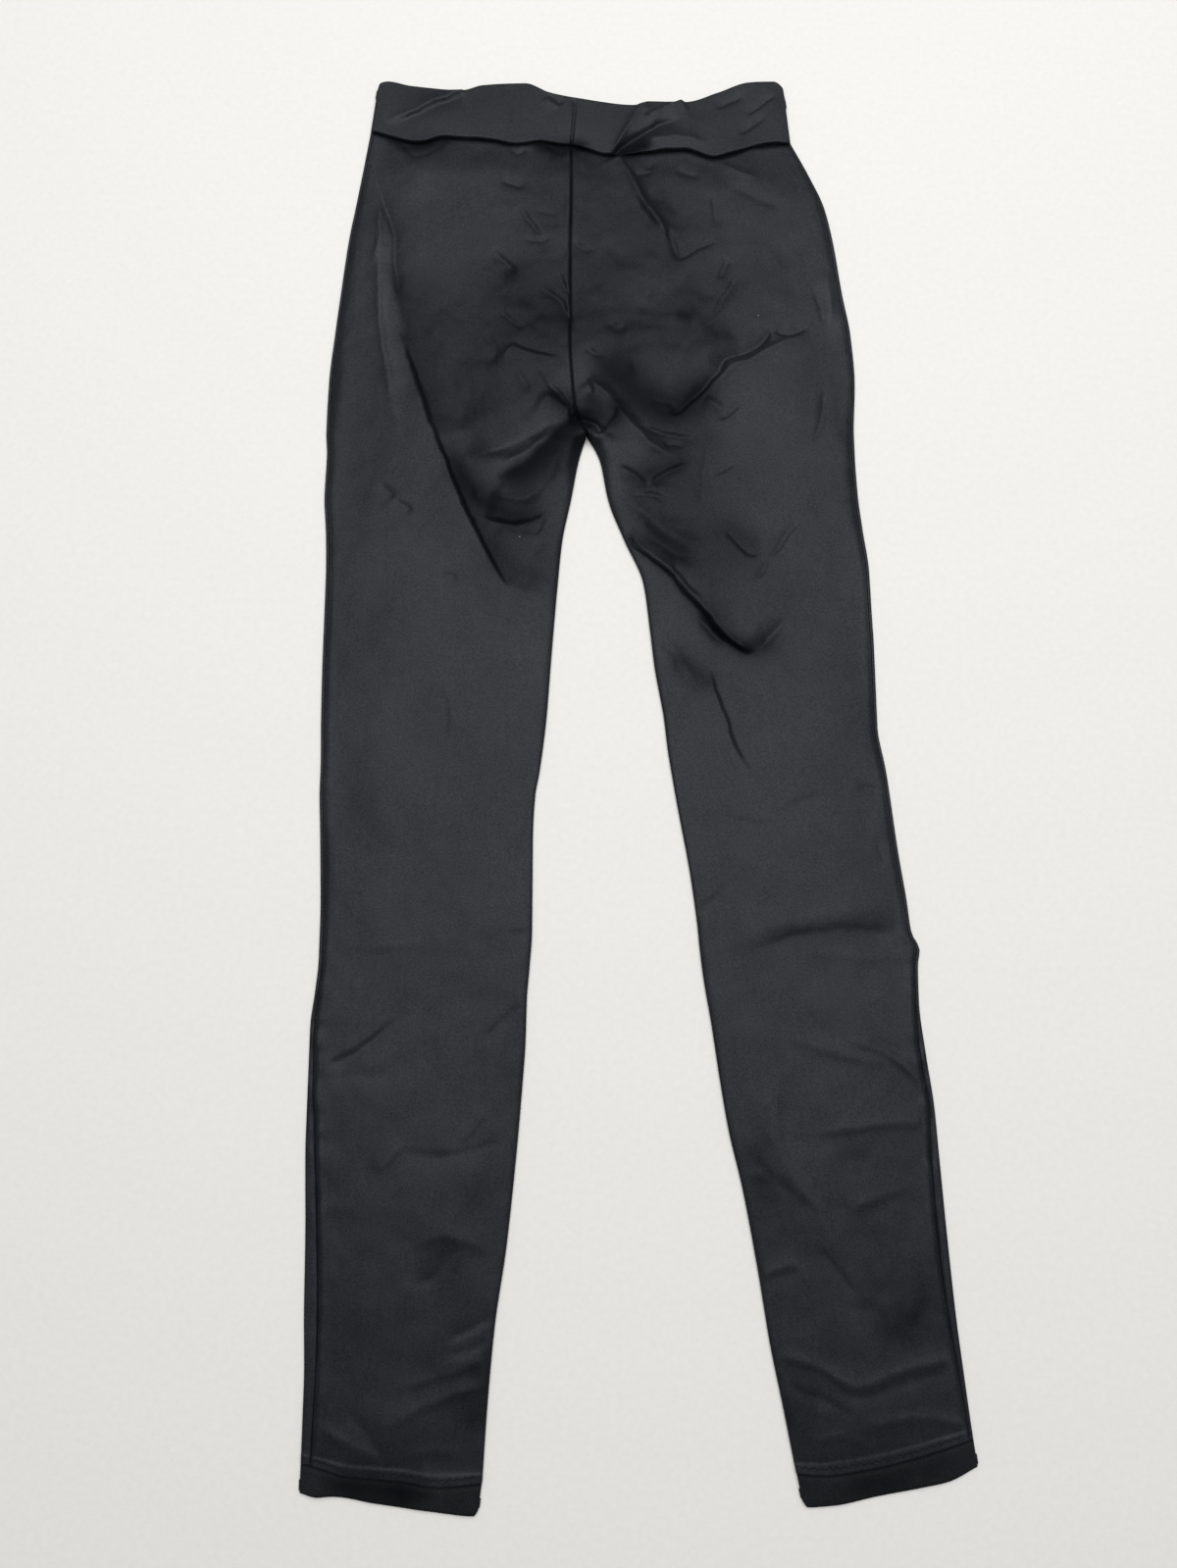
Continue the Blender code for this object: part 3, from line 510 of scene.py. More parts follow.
LEFT_CREASES: tuple[Crease, ...] = (
    # beside the crotch
    Crease(((-27, 230), (-22, 220), (-22, 213)), -1.8, 1.0, 2.4, soft=0.4),
    Crease(((-27, 208), (-20, 209), (-17, 203)), 0.7, 3.0, 3.0, soft=2.0),
    Crease(((-24, 215), (-14, 215), (-7, 209), (-9, 198), (-16, 190)), -1.0, 1.2, 4.0, soft=0.5),
    Crease(((-34, 201), (-27, 198), (-19, 195), (-14, 188)), -3.0, 1.6, 4.0, 0.0, (0.03, 0.15)),
    Crease(((-2, 206), (-8, 197), (-13, 187)), 1.0, 4.0, 1.6, 0.0, (0.3, 0.1), 0.6),
    Crease(
        ((-28, 227), (-16, 219), (-7, 209), (0, 198), (8, 189), (16, 182), (26, 176), (40, 171)),
        3.8, 5.0, 7.0, 0.8, (0.1, 0.3),
    ),
    Crease(((-26, 252), (-19, 246), (-12, 244)), -1.5, 0.9, 3.0, soft=0.4),
    Crease(((-6, 270), (2, 250), (9, 234), (18, 222), (32, 216)), 2.6, 26.0, 8.0, soft=3.0),
    Crease(((13, 219), (25, 213), (38, 212)), -1.5, 3.0, 3.0, soft=1.5),
    Crease(
        (
            (26, 203), (36, 207), (44, 214), (50, 219), (57, 227), (62, 233), (66, 241), (80, 247),
            (90, 253), (98, 265),
        ),
        -3.4, 6.0, 1.0, 0.0, (0.12, 0.1), 0.5,
    ),
    Crease(((28, 222), (48, 240), (74, 262)), 2.6, 14.0, 12.0, 0.0, (0.3, 0.3), 6.0),
    Crease(
        ((52, 218), (63, 228), (70, 237), (80, 240), (90, 246), (108, 256), (126, 263)),
        2.2, 2.0, 6.0, 0.0, (0.2, 0.3),
    ),
    Crease(((96, 265), (104, 260), (112, 261), (122, 267)), -2.0, 4.0, 1.0, soft=0.5),
    Crease(((50, 215), (58, 212), (67, 206)), -1.8, 2.0, 4.0),
    Crease(((60, 199), (69, 205), (76, 213)), -1.6, 4.0, 1.0, soft=0.4),
    Crease(((6, 194), (18, 192), (30, 189), (48, 187)), -1.7, 0.8, 4.0, soft=0.4),
    Crease(((23, 184), (41, 182)), -1.2, 1.4, 4.0),
    Crease(((60, 194), (55, 184), (52, 170), (50, 152), (48, 136)), -1.3, 4.5, 3.5),
    Crease(((46, 170), (32, 166), (22, 161), (13, 152)), -1.8, 6.0, 1.0, soft=0.5),
    Crease(((-9, 168), (-1, 167), (6, 163), (11, 158), (16, 151)), -1.6, 1.0, 6.0, soft=0.5),
    Crease(((3, 148), (13, 149), (22, 148), (28, 144)), -1.5, 0.8, 3.0, soft=0.4),
    Crease(((56, 162), (63, 165), (72, 171)), -1.0, 3.0, 1.0),
    # thigh
    Crease(((8, 133), (20, 121), (34, 112), (50, 107)), -1.8, 4.0, 4.0, 0.0, (0.4, 0.4), 1.5),
    Crease(((-6, 152), (8, 139), (24, 128), (40, 117), (54, 111)), 2.6, 9.0, 4.0, 0.4, (0.4, 0.3), 1.5),
    Crease(((60, 128), (70, 118), (75, 112), (81, 108), (92, 112)), -1.4, 5.0, 1.0, 0.0, (0.4, 0.4), 0.4),
    Crease(((114, 133), (102, 120), (97, 112), (90, 103)), -1.3, 1.0, 3.5, soft=0.4),
    Crease(((91, 107), (88, 99), (84, 91)), -1.1, 0.9, 3.0, soft=0.4),
    Crease(
        (
            (0, 125), (10, 117), (19, 110), (28, 103), (34, 97), (38, 90), (45, 82), (52, 74), (62, 61),
            (72, 52), (84, 43),
        ),
        5.2, 14.0, 2.6, 4.5, (0.16, 0.12),
    ),
    Crease(((31, 105), (37, 99), (43, 90), (52, 81)), -1.3, 1.4, 0.9, soft=0.4),
    Crease(((44, 71), (53, 59), (66, 47)), -2.0, 4.0, 3.0),
    Crease(((83, 45), (91, 54), (102, 67)), -1.5, 3.0, 3.0),
    Crease(((19, 47), (30, 47), (35, 38), (41, 26), (48, 18)), -2.0, 2.4, 3.0),
    Crease(((50, 42), (54, 30), (60, 14), (65, -2), (70, -18), (84, -40)), 1.5, 9.0, 3.0, 0.8),
    Crease(((49, 40), (52, 30), (58, 14), (63, -2), (68, -18), (80, -38)), -1.5, 1.5, 3.0),
    Crease(((58, -14), (64, -27), (68, -43)), -0.8, 2.0, 2.0),
    Crease(((96, 39), (105, 30), (114, 20)), -0.6, 2.0, 2.0),
    Crease(((131, 224), (129, 206), (126, 195), (122, 182)), -1.2, 1.4, 1.8),
    # hip
    Crease(((-5, 394), (5, 373), (12, 358), (20, 345), (28, 333), (34, 322)), 3.2, 3.4, 5.0, 1.0, (0.05, 0.25)),
    Crease(((6, 361), (13, 348), (22, 336)), -1.2, 1.2, 5.0),
    Crease(((-3, 392), (7, 378), (14, 366)), -1, 3.0, 2.0, 0.0, (0.05, 0.4)),
    Crease(((29, 338), (33, 325), (37, 314)), -2.03, 2.0, 2.0),
    Crease(((33, 314), (43, 318), (52, 324), (63, 328)), -1.42, 3.5, 0.9, soft=0.4),
    Crease(((24, 375), (34, 353), (42, 332)), -1.09, 6.0, 6.0, soft=3.0),
    Crease(((35, 383), (52, 375)), -1.09, 2.4, 2.4),
    Crease(((64, 389), (75, 381), (92, 374)), 0.99, 2.0, 2.4),
    Crease(((60, 364), (61, 351), (63, 336)), -1.09, 4.0, 1.0),
    Crease(((70, 317), (66, 308), (61, 299)), -1.2, 3.0, 0.9, soft=0.4),
    Crease(((79, 309), (70, 294), (62, 280), (55, 268)), -1.3, 4.0, 0.9, soft=0.4),
    Crease(((70, 372), (82, 364), (98, 356), (110, 354)), -1.2, 4.0, 4.0, soft=2.0),
    Crease(((20, 300), (14, 286), (10, 272)), -0.99, 3.5, 3.5, soft=2.0),
    Crease(((-12, 272), (-6, 264), (2, 260)), -1.3, 4.0, 4.0, soft=2.0),
    Crease(((134, 312), (136, 287), (137, 264)), 1.45, 3.0, 4.0, soft=1.0),
    Crease(((126, 296), (130, 280), (133, 266)), -1.09, 1.8, 1.8),
    Crease(((104, 330), (110, 300), (106, 280)), -0.75, 6.0, 6.0, soft=3.0),
    # knee and calf
    Crease(((93, -56), (108, -50), (124, -46)), -0.6, 1.0, 5.0, soft=0.5),
    Crease(((62, -61), (79, -64), (96, -64)), -0.6, 1.0, 5.0, soft=0.5),
    Crease(((138, -42), (159, -43)), -0.8, 1.0, 3.0, 0.0, (0.4, 0.05)),
    Crease(((152, -70), (157, -91)), -0.7, 1.0, 3.0),
    Crease(((41, -117), (51, -111), (60, -101)), -0.9, 1.0, 4.0, 0.0, (0.05, 0.4)),
    Crease(
        ((66, -144), (95, -133), (118, -129), (138, -128), (170, -131)),
        -0.7, 1.0, 11.0, 0.0, (0.3, 0.2), 0.8,
    ),
    Crease(((60, -136), (93, -125), (138, -118), (168, -121)), 1.3, 9.0, 6.0, soft=3.0),
    Crease(((90, -139), (138, -144), (178, -142)), 0.7, 1.6, 7.0, 0.0, (0.4, 0.1), 1.0),
    Crease(((93, -192), (127, -202), (161, -207)), 0.6, 5.0, 2.0, soft=1.5),
    Crease(((127, -193), (149, -199), (162, -208), (175, -221)), 1.1, 6.0, 1.4, 0.0, (0.3, 0.15), 0.8),
    Crease(((140, -191), (153, -196), (166, -202)), -0.6, 1.0, 4.0),
    Crease(((98, -248), (134, -243), (175, -240)), 0.7, 5.0, 1.6, 0.0, (0.4, 0.1), 0.8),
    Crease(
        ((92, -200), (86, -232), (90, -262), (105, -285), (121, -313), (131, -337)),
        1.1, 3.0, 9.0, soft=2.0,
    ),
    Crease(((68, -256), (90, -277), (119, -297)), -0.45, 2.0, 6.0, soft=1.0),
    Crease(((81, -222), (79, -240), (84, -254)), 0.7, 1.4, 4.0, soft=0.6),
    Crease(((124, -290), (144, -282), (166, -275)), 0.6, 6.0, 2.0, soft=1.0),
    Crease(((76, -326), (88, -321), (100, -319)), 0.8, 4.0, 1.2, 0.0, (0.1, 0.4), 0.6),
    Crease(((106, -306), (118, -320), (131, -337)), -0.6, 1.0, 5.0, soft=0.5),
    Crease(
        ((82, -368), (104, -373), (128, -384), (153, -376), (188, -369)),
        0.85, 4.0, 1.4, 0.0, (0.1, 0.15), 0.8,
    ),
    Crease(((110, -382), (132, -389), (156, -381), (188, -374)), -0.6, 2.0, 7.0, soft=1.0),
    Crease(((86, -383), (112, -392), (130, -402)), -0.6, 1.2, 6.0, 0.0, (0.2, 0.4), 0.6),
    Crease(((127, -407), (160, -400), (190, -404)), 0.9, 3.0, 3.0, 0.0, (0.3, 0.1), 1.0),
    Crease(((100, -414), (116, -410), (136, -415)), 0.6, 3.0, 2.0, soft=0.8),
)
SHARED_CREASES: tuple[Crease, ...] = (
    # the front bags out a little round the crotch, and the waistband pulls on the cloth under it
    Crease(((-105, 165), (-60, 180), (-20, 188), (35, 165)), 2.6, 22.0, 20.0, soft=12.0),
    Crease(((-110, 270), (-70, 240), (-30, 235), (30, 240), (80, 275)), 2.0, 34.0, 26.0, soft=16.0),
    Crease(((-35, 360), (-34, 300), (-33, 240)), -1.2, 9.0, 9.0, soft=5.0),
    Crease(((17, 396), (19, 387), (14, 382)), -1.3, 1.4, 1.4, 0.0, (0.1, 0.3)),
    Crease(((6, 380), (12, 378), (21, 381)), -1.2, 1.4, 1.4),
)
BAND_CREASES: tuple[Crease, ...] = (
    Crease(
        ((-108, 444), (-120, 438), (-130, 434), (-140, 428), (-150, 423), (-164, 418)),
        1.9, 1.6, 6.0, 0.8, (0.05, 0.3), 0.5,
    ),
    Crease(((-108, 439), (-124, 432), (-140, 424), (-156, 417)), -0.9, 4.0, 2.0, 0.0, (0.1, 0.3)),
    Crease(((-54, 437), (-50, 433), (-44, 429)), 1.0, 1.4, 1.4),
    Crease(((-51, 441), (-46, 436), (-40, 431)), -1.0, 1.4, 1.4),
    Crease(((17, 434), (10, 424), (3, 412), (-3, 400), (-6, 395)), 1.8, 3.0, 2.0, 0.6, (0.12, 0.1), 0.4),
    Crease(((43, 434), (36, 430), (30, 427), (22, 423), (13, 420)), 2.4, 5.0, 1.6, 1.0, (0.12, 0.3), 0.4),
    Crease(((-6, 394), (3, 402), (10, 408), (18, 413), (28, 417), (43, 420)), -3.4, 1.5, 7.0, 0.0, (0.03, 0.4)),
    Crease(((10, 403), (24, 406), (42, 405), (60, 401)), 1.8, 4.0, 3.0, soft=1.5),
    Crease(((62, 428), (72, 433), (84, 439)), -1.0, 4.0, 1.2),
    Crease(((82, 421), (92, 429), (106, 440)), -1.1, 3.5, 0.9, soft=0.4),
    Crease(((78, 408), (88, 414), (98, 423)), -1.0, 3.5, 0.9, soft=0.4),
)
# Faint creases pressed into the underside, which lies on the floor.
BACK_CREASES: tuple[Crease, ...] = (
    Crease(((-150, 330), (-120, 300), (-95, 262)), 0.5, 3, 5),
    Crease(((-60, 350), (-72, 300), (-66, 250)), 0.4, 4, 3),
    Crease(((-160, 150), (-120, 170), (-70, 180)), 0.5, 3, 5),
    Crease(((-150, 90), (-110, 110), (-60, 112)), 0.5, 4, 3),
    Crease(((-160, -120), (-120, -128), (-75, -118)), 0.5, 4, 4),
    Crease(((-165, -230), (-130, -215), (-90, -222)), 0.4, 3, 4),
    Crease(((-150, -350), (-120, -342), (-95, -352)), 0.4, 3, 3),
    Crease(((20, 345), (50, 310), (70, 270)), 0.5, 4, 3),
    Crease(((0, 300), (20, 260), (30, 220)), 0.4, 3, 4),
    Crease(((10, 150), (60, 160), (110, 190)), 0.5, 5, 3),
    Crease(((35, 80), (75, 95), (120, 90)), 0.5, 3, 4),
    Crease(((60, -110), (100, -118), (145, -108)), 0.5, 4, 4),
    Crease(((75, -240), (110, -228), (150, -236)), 0.4, 3, 3),
    Crease(((100, -360), (130, -352), (160, -358)), 0.4, 3, 3),
)

# Painted shade and painted highlight: patches where the knit is painted darker and less glossy, for the shade
# in the seat, the crotch, beside the folds, under the waistband and at the hems. Each height is how much darker
# and duller it is painted there, and below 0 a painted highlight, lighter and glossier.
PAINTED_SHADE_AND_HIGHLIGHT: tuple[Crease, ...] = (
    # seat
    Crease(((-74, 330), (-62, 283), (-48, 248), (-30, 227)), 0.55, 22.0, 20.0, soft=16.0),
    Crease(((-4, 325), (-14, 283), (-23, 240)), 0.45, 18.0, 22.0, soft=14.0),
    Crease(((-104, 290), (-94, 230), (-80, 190)), 0.4, 20.0, 18.0, soft=16.0),
    Crease(((-50, 400), (-38, 360), (-40, 320)), 0.3, 24.0, 30.0, soft=16.0),
    Crease(((5, 395), (20, 350), (34, 290)), 0.4, 22.0, 24.0, soft=18.0),
    Crease(((34, 300), (50, 270), (60, 235)), 0.45, 18.0, 18.0, soft=16.0),
    Crease(((-79, 311), (-70, 294)), 0.35, 5.0, 5.0, soft=4.0),
    Crease(((-167, 355), (-163, 320), (-160, 285), (-154, 250), (-144, 205)), -0.35, 4.0, 6.0, soft=3.0),
    Crease(((136, 318), (139, 285), (138, 250)), -0.3, 4.0, 5.0, soft=3.0),
    Crease(((-134, 398), (-132, 375), (-140, 345)), -0.2, 6.0, 6.0, soft=4.0),
    Crease(((-166, 442), (-150, 426), (-138, 440)), -0.15, 8.0, 8.0, soft=6.0),
    Crease(((72, 432), (92, 438), (106, 430)), -0.15, 8.0, 8.0, soft=6.0),
    Crease(((33, 273), (47, 268)), 1.0, 3.0, 3.0, 0.0, (0.3, 0.3), 2.0),
    # crotch, right side
    Crease(
        ((-84, 158), (-71, 163), (-57, 173), (-41, 191), (-29, 201), (-17, 203)),
        3.6, 1.4, 8.5, 0.0, (0.2, 0.1), 1.2,
    ),
    Crease(((-52, 220), (-36, 206), (-23, 199)), 1.6, 3.0, 4.0, soft=3.0),
    Crease(
        ((-112, 180), (-101, 153), (-83, 139), (-64, 133), (-47, 145)),
        1.6, 6.0, 3.0, 0.0, (0.25, 0.3), 3.0,
    ),
    Crease(((-60, 104), (-70, 84)), 0.3, 12.0, 12.0, soft=8.0),
    # long fold
    Crease(((-158, 315), (-146, 276), (-137, 234), (-116, 183)), 0.85, 17.0, 1.5, 0.0, (0.2, 0.1), 1.0),
    Crease(((-124, 192), (-111, 160), (-93, 120), (-72, 84)), 1.2, 9.0, 0.8, 0.0, (0.2, 0.3), 0.8),
    Crease(((-100, 122), (-62, 108), (-52, 76)), 0.3, 18.0, 18.0, soft=14.0),
    # crotch, left side
    Crease(
        ((-24, 248), (-7, 233), (9, 215), (27, 205), (43, 211), (66, 233)),
        1.9, 10.0, 6.0, 0.0, (0.2, 0.3), 5.0,
    ),
    Crease(((-10, 214), (-5, 200), (-14, 188)), 1.3, 3.0, 3.0, soft=2.0),
    Crease(((-27, 214), (-18, 205), (-18, 192)), 1.3, 4.0, 4.0, soft=4.0),
    Crease(((-6, 158), (18, 164), (48, 172)), 0.8, 5.0, 6.0, 0.0, (0.25, 0.25), 3.0),
    Crease(((4, 170), (40, 140), (76, 112)), 0.36, 22.0, 22.0, soft=18.0),
    Crease(((8, 136), (22, 121), (36, 112), (52, 107)), 0.9, 5.0, 4.0, 0.0, (0.4, 0.3), 3.0),
    Crease(((46, 68), (64, 54), (82, 45)), 1.0, 3.0, 4.0, 0.0, (0.4, 0.3), 2.0),
    Crease(((62, 133), (77, 120), (88, 110)), 0.3, 4.0, 5.0, soft=2.0),
    Crease(((22, 98), (58, 102), (92, 128)), 0.35, 14.0, 14.0, soft=10.0),
    Crease(((40, 88), (56, 67), (70, 52), (84, 45), (104, 60)), 0.8, 3.0, 5.0, soft=1.0),
    Crease(((27, 48), (44, 32), (60, 18)), 0.7, 4.0, 5.0, soft=2.0),
    Crease(((10, 190), (40, 184), (70, 190)), 0.3, 8.0, 8.0, soft=6.0),
    # under the waistband
    Crease(((-164, 408), (-144, 399), (-112, 406)), 1.4, 2.0, 3.0, soft=1.5),
    Crease(((-64, 402), (-43, 398), (-20, 401)), 2.2, 2.0, 3.5, soft=2.0),
    Crease(((-10, 393), (7, 397), (22, 405)), 2.6, 3.0, 2.5, soft=2.0),
    # knee
    Crease(((40, -148), (77, -136), (112, -128), (156, -124)), 0.16, 2.0, 9.0, soft=2.0),
    Crease(((-96, -135), (-60, -135)), 0.12, 5.0, 3.0, soft=2.0),
    # calf
    Crease(((-66, -160), (-70, -200), (-72, -240)), 0.2, 8.0, 8.0, soft=5.0),
    Crease(((-84, -360), (-86, -412)), 0.4, 10.0, 9.0, soft=7.0),
    Crease(((-122, -330), (-108, -322), (-98, -310)), 0.3, 7.0, 5.0, soft=4.0),
    Crease(((68, -241), (76, -281), (82, -325)), 0.35, 7.0, 7.0, soft=5.0),
    Crease(((128, -350), (150, -345), (176, -352)), 0.45, 12.0, 10.0, soft=9.0),
    Crease(((86, -386), (108, -396)), 0.4, 5.0, 8.0, soft=5.0),
    # hems
    Crease(((-176, -434), (-145, -437), (-106, -441)), 1.2, 5.0, 4.0, soft=3.0),
    Crease(((100, -438), (150, -432), (190, -421)), 0.3, 6.0, 6.0, soft=4.0),
)

PAINTED_HIGHLIGHT_CAP = -0.35  # the patches' lowest sum that counts, which caps the painted highlight


def painted_shading_at(x: Array, y: Array) -> Array:
    """How much the painted shade darkens the knit's tone and gloss, or the painted highlight lightens them.

    Args:
        x: X of each point, mm.
        y: Y of each point, mm.

    Returns:
        The share of the usual tone and gloss at each point, below 1 for painted shade and above 1 for painted
        highlight.
    """
    return np.exp(-np.maximum(creased(PAINTED_SHADE_AND_HIGHLIGHT, x, y)[:, :, 2], PAINTED_HIGHLIGHT_CAP))


# ---- Leg panels


@dataclass(frozen=True)
class LegCut:
    """What one leg is made from: its outline, its creases and the flat areas of its panels."""

    side: Side
    hip: tuple[Triple, ...]
    leg: tuple[Section, ...]
    tuck: Line
    hem: Line
    creases: tuple[Crease, ...]
    other_creases: tuple[Crease, ...]  # those of the other leg, which run on over the centre seam
    front_area: float  # square metres
    back_area: float
    stitch_ends: Pair  # how much of the tuck is bare at its low-X end, and at its high-X end
    seam_seed: int
    hem_seed: int

    def sections(self) -> Array:
        """The leg from waist to ankle, one row a section.

        Returns:
            Inner X and Y, outer X and Y, and how far in the side seam lies.
        """
        hip = [(*centre, x, y, seam) for centre, (x, y, seam) in zip(CENTRE_SEAM, self.hip)]
        return np.array(hip + [(*s.inner, *s.outer, s.seam_in) for s in self.leg])

    def tuck_ends(self) -> Pair:
        """Lowest and highest X of the tuck."""
        return tuple(sorted((self.tuck[0][0], self.tuck[-1][0])))

    def hem_ends(self) -> Pair:
        """Lowest and highest X of the hem's lower edge."""
        return tuple(sorted((self.hem[0][0], self.hem[-1][0])))


@dataclass
class LegPanels:
    """One leg's flattened tube on the floor, read in rows from the waist to the tuck above the hem, mm."""

    cut: LegCut
    spread: float = 1.0  # how many times the usual step the rows lie apart
    upper_step: float = 1.15  # between rows above fine_above
    lower_step: float = 1.9  # below it
    tuck_step: float = 0.7  # at the tuck
    fine_above: float = 10.0
    front_columns: int = 118
    back_columns: int = 34
    inseam_columns: tuple[float, ...] = (0.0, 0.25, 0.6, 1.05, 1.6, 2.3, 3.2)  # from the front's inner edge
    seam_columns: tuple[float, ...] = (3.2, 2.2, 1.5, 0.9, 0.4, 0.0)  # from the side seam
    back_edge_columns: tuple[float, ...] = (0.0, 0.25, 0.6, 1.05, 1.7)
    loft: float = 2.4  # how far the front lies loose above the height of its edges
    loft_reach: float = 30.0  # how far from the waist and from the hem that is reached
    edge_roll: float = 4.0  # the narrow roll at an edge
    slow_rise: float = 45.0  # the slow rise behind it
    least_top: float = 1.9  # the front's lowest height, just clear of the back panel
    most_top: float = 11.5  # and its highest
    low_bend: float = 4.0  # how sharply it levels off at its lowest height
    high_bend: float = 1.5  # and at its highest
    tuck_rise: float = 0.4  # how far the tuck above the hem stands up
    tuck_slope: float = 1.6  # and over what way
    waist_bow: float = 3.0  # how many sections the waist seam's own curve dies away over
    hem_bow: float = 1.0  # and the tuck's
    curl_sections: float = 0.5  # how many sections the centre seam takes to become the rounded inseam
    held_over: float = 5.0  # creases die away over this way to the band and to the tuck
    band_dip: float = 1.0  # how far the front dips under the band's lower edge
    dip_width: float = 2.6
    band_shade: float = 1.3  # painted shadow: how much darker and less glossy the cloth is painted there
    shade_width: float = 1.9
    centre_groove: float = 0.75  # depth of the groove along the centre seam
    seam_groove: float = 0.5  # usual depth of the groove along the side seam
    puckers_at: float = -205.0  # Y where the side seam puckers most
    calf_below: float = -120.0  # the side seam stands out below this Y
    broad_waves: Waves = Waves(3, 46.0, 0.9)
    rumples: tuple[Waves, ...] = (Waves(6, 9.0, 0.45), Waves(7, 4.5, 0.14))
    first_rumples: Waves = Waves(4, 19.0, 1.1)
    tuck_waves: Waves = Waves(8, 6.0, 0.3)
    shade_waves: Waves = Waves(17, 8.0, 0.9)

    def __post_init__(self) -> None:
        """Works out the rows."""
        table = self.cut.sections()
        self.last = len(table) - 1
        ankle = math.dist(table[-1, :2], table[-2, :2])
        dense = np.linspace(0, self.last, 40 * self.last + 1)
        knots = np.arange(self.last + 1)
        middle = (table[:, 1] + table[:, 3]) / 2
        y = curve_through(knots, middle, dense)
        step = np.where(y > self.fine_above, self.upper_step, self.lower_step) * self.spread
        step = np.where((self.last - dense) * ankle < 1.6 * TUCK_DEPTH, self.tuck_step, step)
        counted = np.concatenate([[0], np.cumsum(-np.diff(y) / step[1:])])
        place = np.interp(np.linspace(0, counted[-1], int(counted[-1]) + 1), counted, dense)
        self.place = place[:, None]
        self.inner = np.stack([self._inner_curve(table[:, i], place) for i in (0, 1)], axis=1)
        self.outer = np.stack([curve_through(knots, table[:, i], place) for i in (2, 3)], axis=1)
        self.seam_in = curve_through(knots, table[:, 4], place)[:, None]
        self.width = np.hypot(*(self.outer - self.inner).T)[:, None]
        self.above_hem = (self.last - self.place) * ankle
        self.curl = smooth_step((self.place - CROTCH) / self.curl_sections)

    def _inner_curve(self, values: Array, place: Array) -> Array:
        """The centre seam down to the crotch, and then the leg's own inseam.

        Args:
            values: X or Y of each section's inner point.
            place: The rows, counted in sections.

        Returns:
            X or Y of each row's inner point.
        """
        seam = curve_through(range(CROTCH + 1), values[: CROTCH + 1], place)
        inseam = curve_through(range(CROTCH, self.last + 1), values[CROTCH:], place)
        return np.where(place <= CROTCH, seam, inseam)

    def _bow(self, x: Array, line: Line, end: int) -> Array:
        """How far a line departs from the straight way between the leg's edges.

        Args:
            x: Where to read the line.
            line: The waist seam or the tuck.
            end: The first row or the last.

        Returns:
            The departure in Y.
        """
        (inner_x, inner_y), (outer_x, outer_y) = self.inner[end], self.outer[end]
        x = np.clip(x, min(inner_x, outer_x), max(inner_x, outer_x))
        straight = inner_y + (x - inner_x) / (outer_x - inner_x) * (outer_y - inner_y)
        return line_y(line, x) - straight

    def on_floor(self, across: Array) -> tuple[Array, Array]:
        """Plan of the points that lie this far from the inner edge.

        Args:
            across: Distance from the inner edge, one column a line down the leg.

        Returns:
            X and Y of the points.
        """
        share = across / self.width
        x = self.inner[:, :1] + share * (self.outer - self.inner)[:, :1]
        y = self.inner[:, 1:] + share * (self.outer - self.inner)[:, 1:]
        waist = np.clip(1 - self.place / self.waist_bow, 0, 1) ** 2
        ankle = np.clip(1 - (self.last - self.place) / self.hem_bow, 0, 1) ** 2
        y = y + waist * (self._bow(x, WAIST_SEAM, 0) - SEAM_GAP / 2)
        return x, y + ankle * (self._bow(x, self.cut.tuck, -1) + SEAM_GAP / 2)

    def _tuck_lift(self) -> Array:
        """How far each row stands up for the tuck above the hem.

        Returns:
            One column of heights.
        """
        into_tuck = (TUCK_DEPTH + self.tuck_slope - self.above_hem) / self.tuck_slope
        return self.tuck_rise * smooth_step(into_tuck)

    def _roll_and_rise(self, from_edge: Array) -> Array:
        """How the cloth rises from an edge: a little over a narrow roll, and then slowly.

        Args:
            from_edge: Distance from the edge.

        Returns:
            The share of the full rise.
        """
        return 0.3 * smooth_step(from_edge / self.edge_roll) + 0.7 * smooth_step(from_edge / self.slow_rise)

    def _inseam_drop(self, across: Array) -> Array:
        """How far the cloth turns over at the rounded edge of the inseam.

        Args:
            across: Distance from the inner edge.

        Returns:
            The drop, which is none along the centre seam.
        """
        return self.curl * EDGE_DROP * (1 - quarter_round(across / EDGE_ROUND))

    def _seam_relief(self, from_seam: Array, y: Array) -> Array:
        """The side seam's groove, the soft roll on either hand and the puckers along it.

        Args:
            from_seam: Distance from the seam.
            y: Y of each point.

        Returns:
            The lift of each point.
        """
        seed, straight = self.cut.seam_seed, np.zeros_like(y)
        drawn = 0.25 + 0.75 * bump(y - self.puckers_at, 60.0)
        puckers = Waves(seed, 5.0, 0.8).at(straight, y) * bump(from_seam, 5.0) * drawn
        calf = 0.2 + 0.8 * smooth_step((self.calf_below - y) / 60.0)
        depth = self.seam_groove + Waves(seed + 30, 7.0, 0.35).at(straight, y)
        return calf * (0.25 * bump(from_seam - 2.6, 1.5) - depth * bump(from_seam, 0.7)) + puckers

    def _front_columns(self) -> tuple[Array, Array]:
        """The front panel's columns, close together at its two edges.

        Returns:
            How far each point lies from the inner edge, and from the side seam.
        """
        edge, near_seam = np.array(self.inseam_columns)[None, :], np.array(self.seam_columns)[None, :]
        seam = self.width - self.seam_in - SEAM_GAP / 2
        share = np.linspace(0, 1, self.front_columns)[None, 1:-1]
        start = np.broadcast_to(edge, (len(self.width), edge.shape[1])) + (1 - self.curl) * SEAM_GAP / 2
        inner, outer = start[:, -1:], seam - near_seam[:, :1]
        across = np.concatenate([start, inner + share * (outer - inner), seam - near_seam], axis=1)
        return across, seam - across

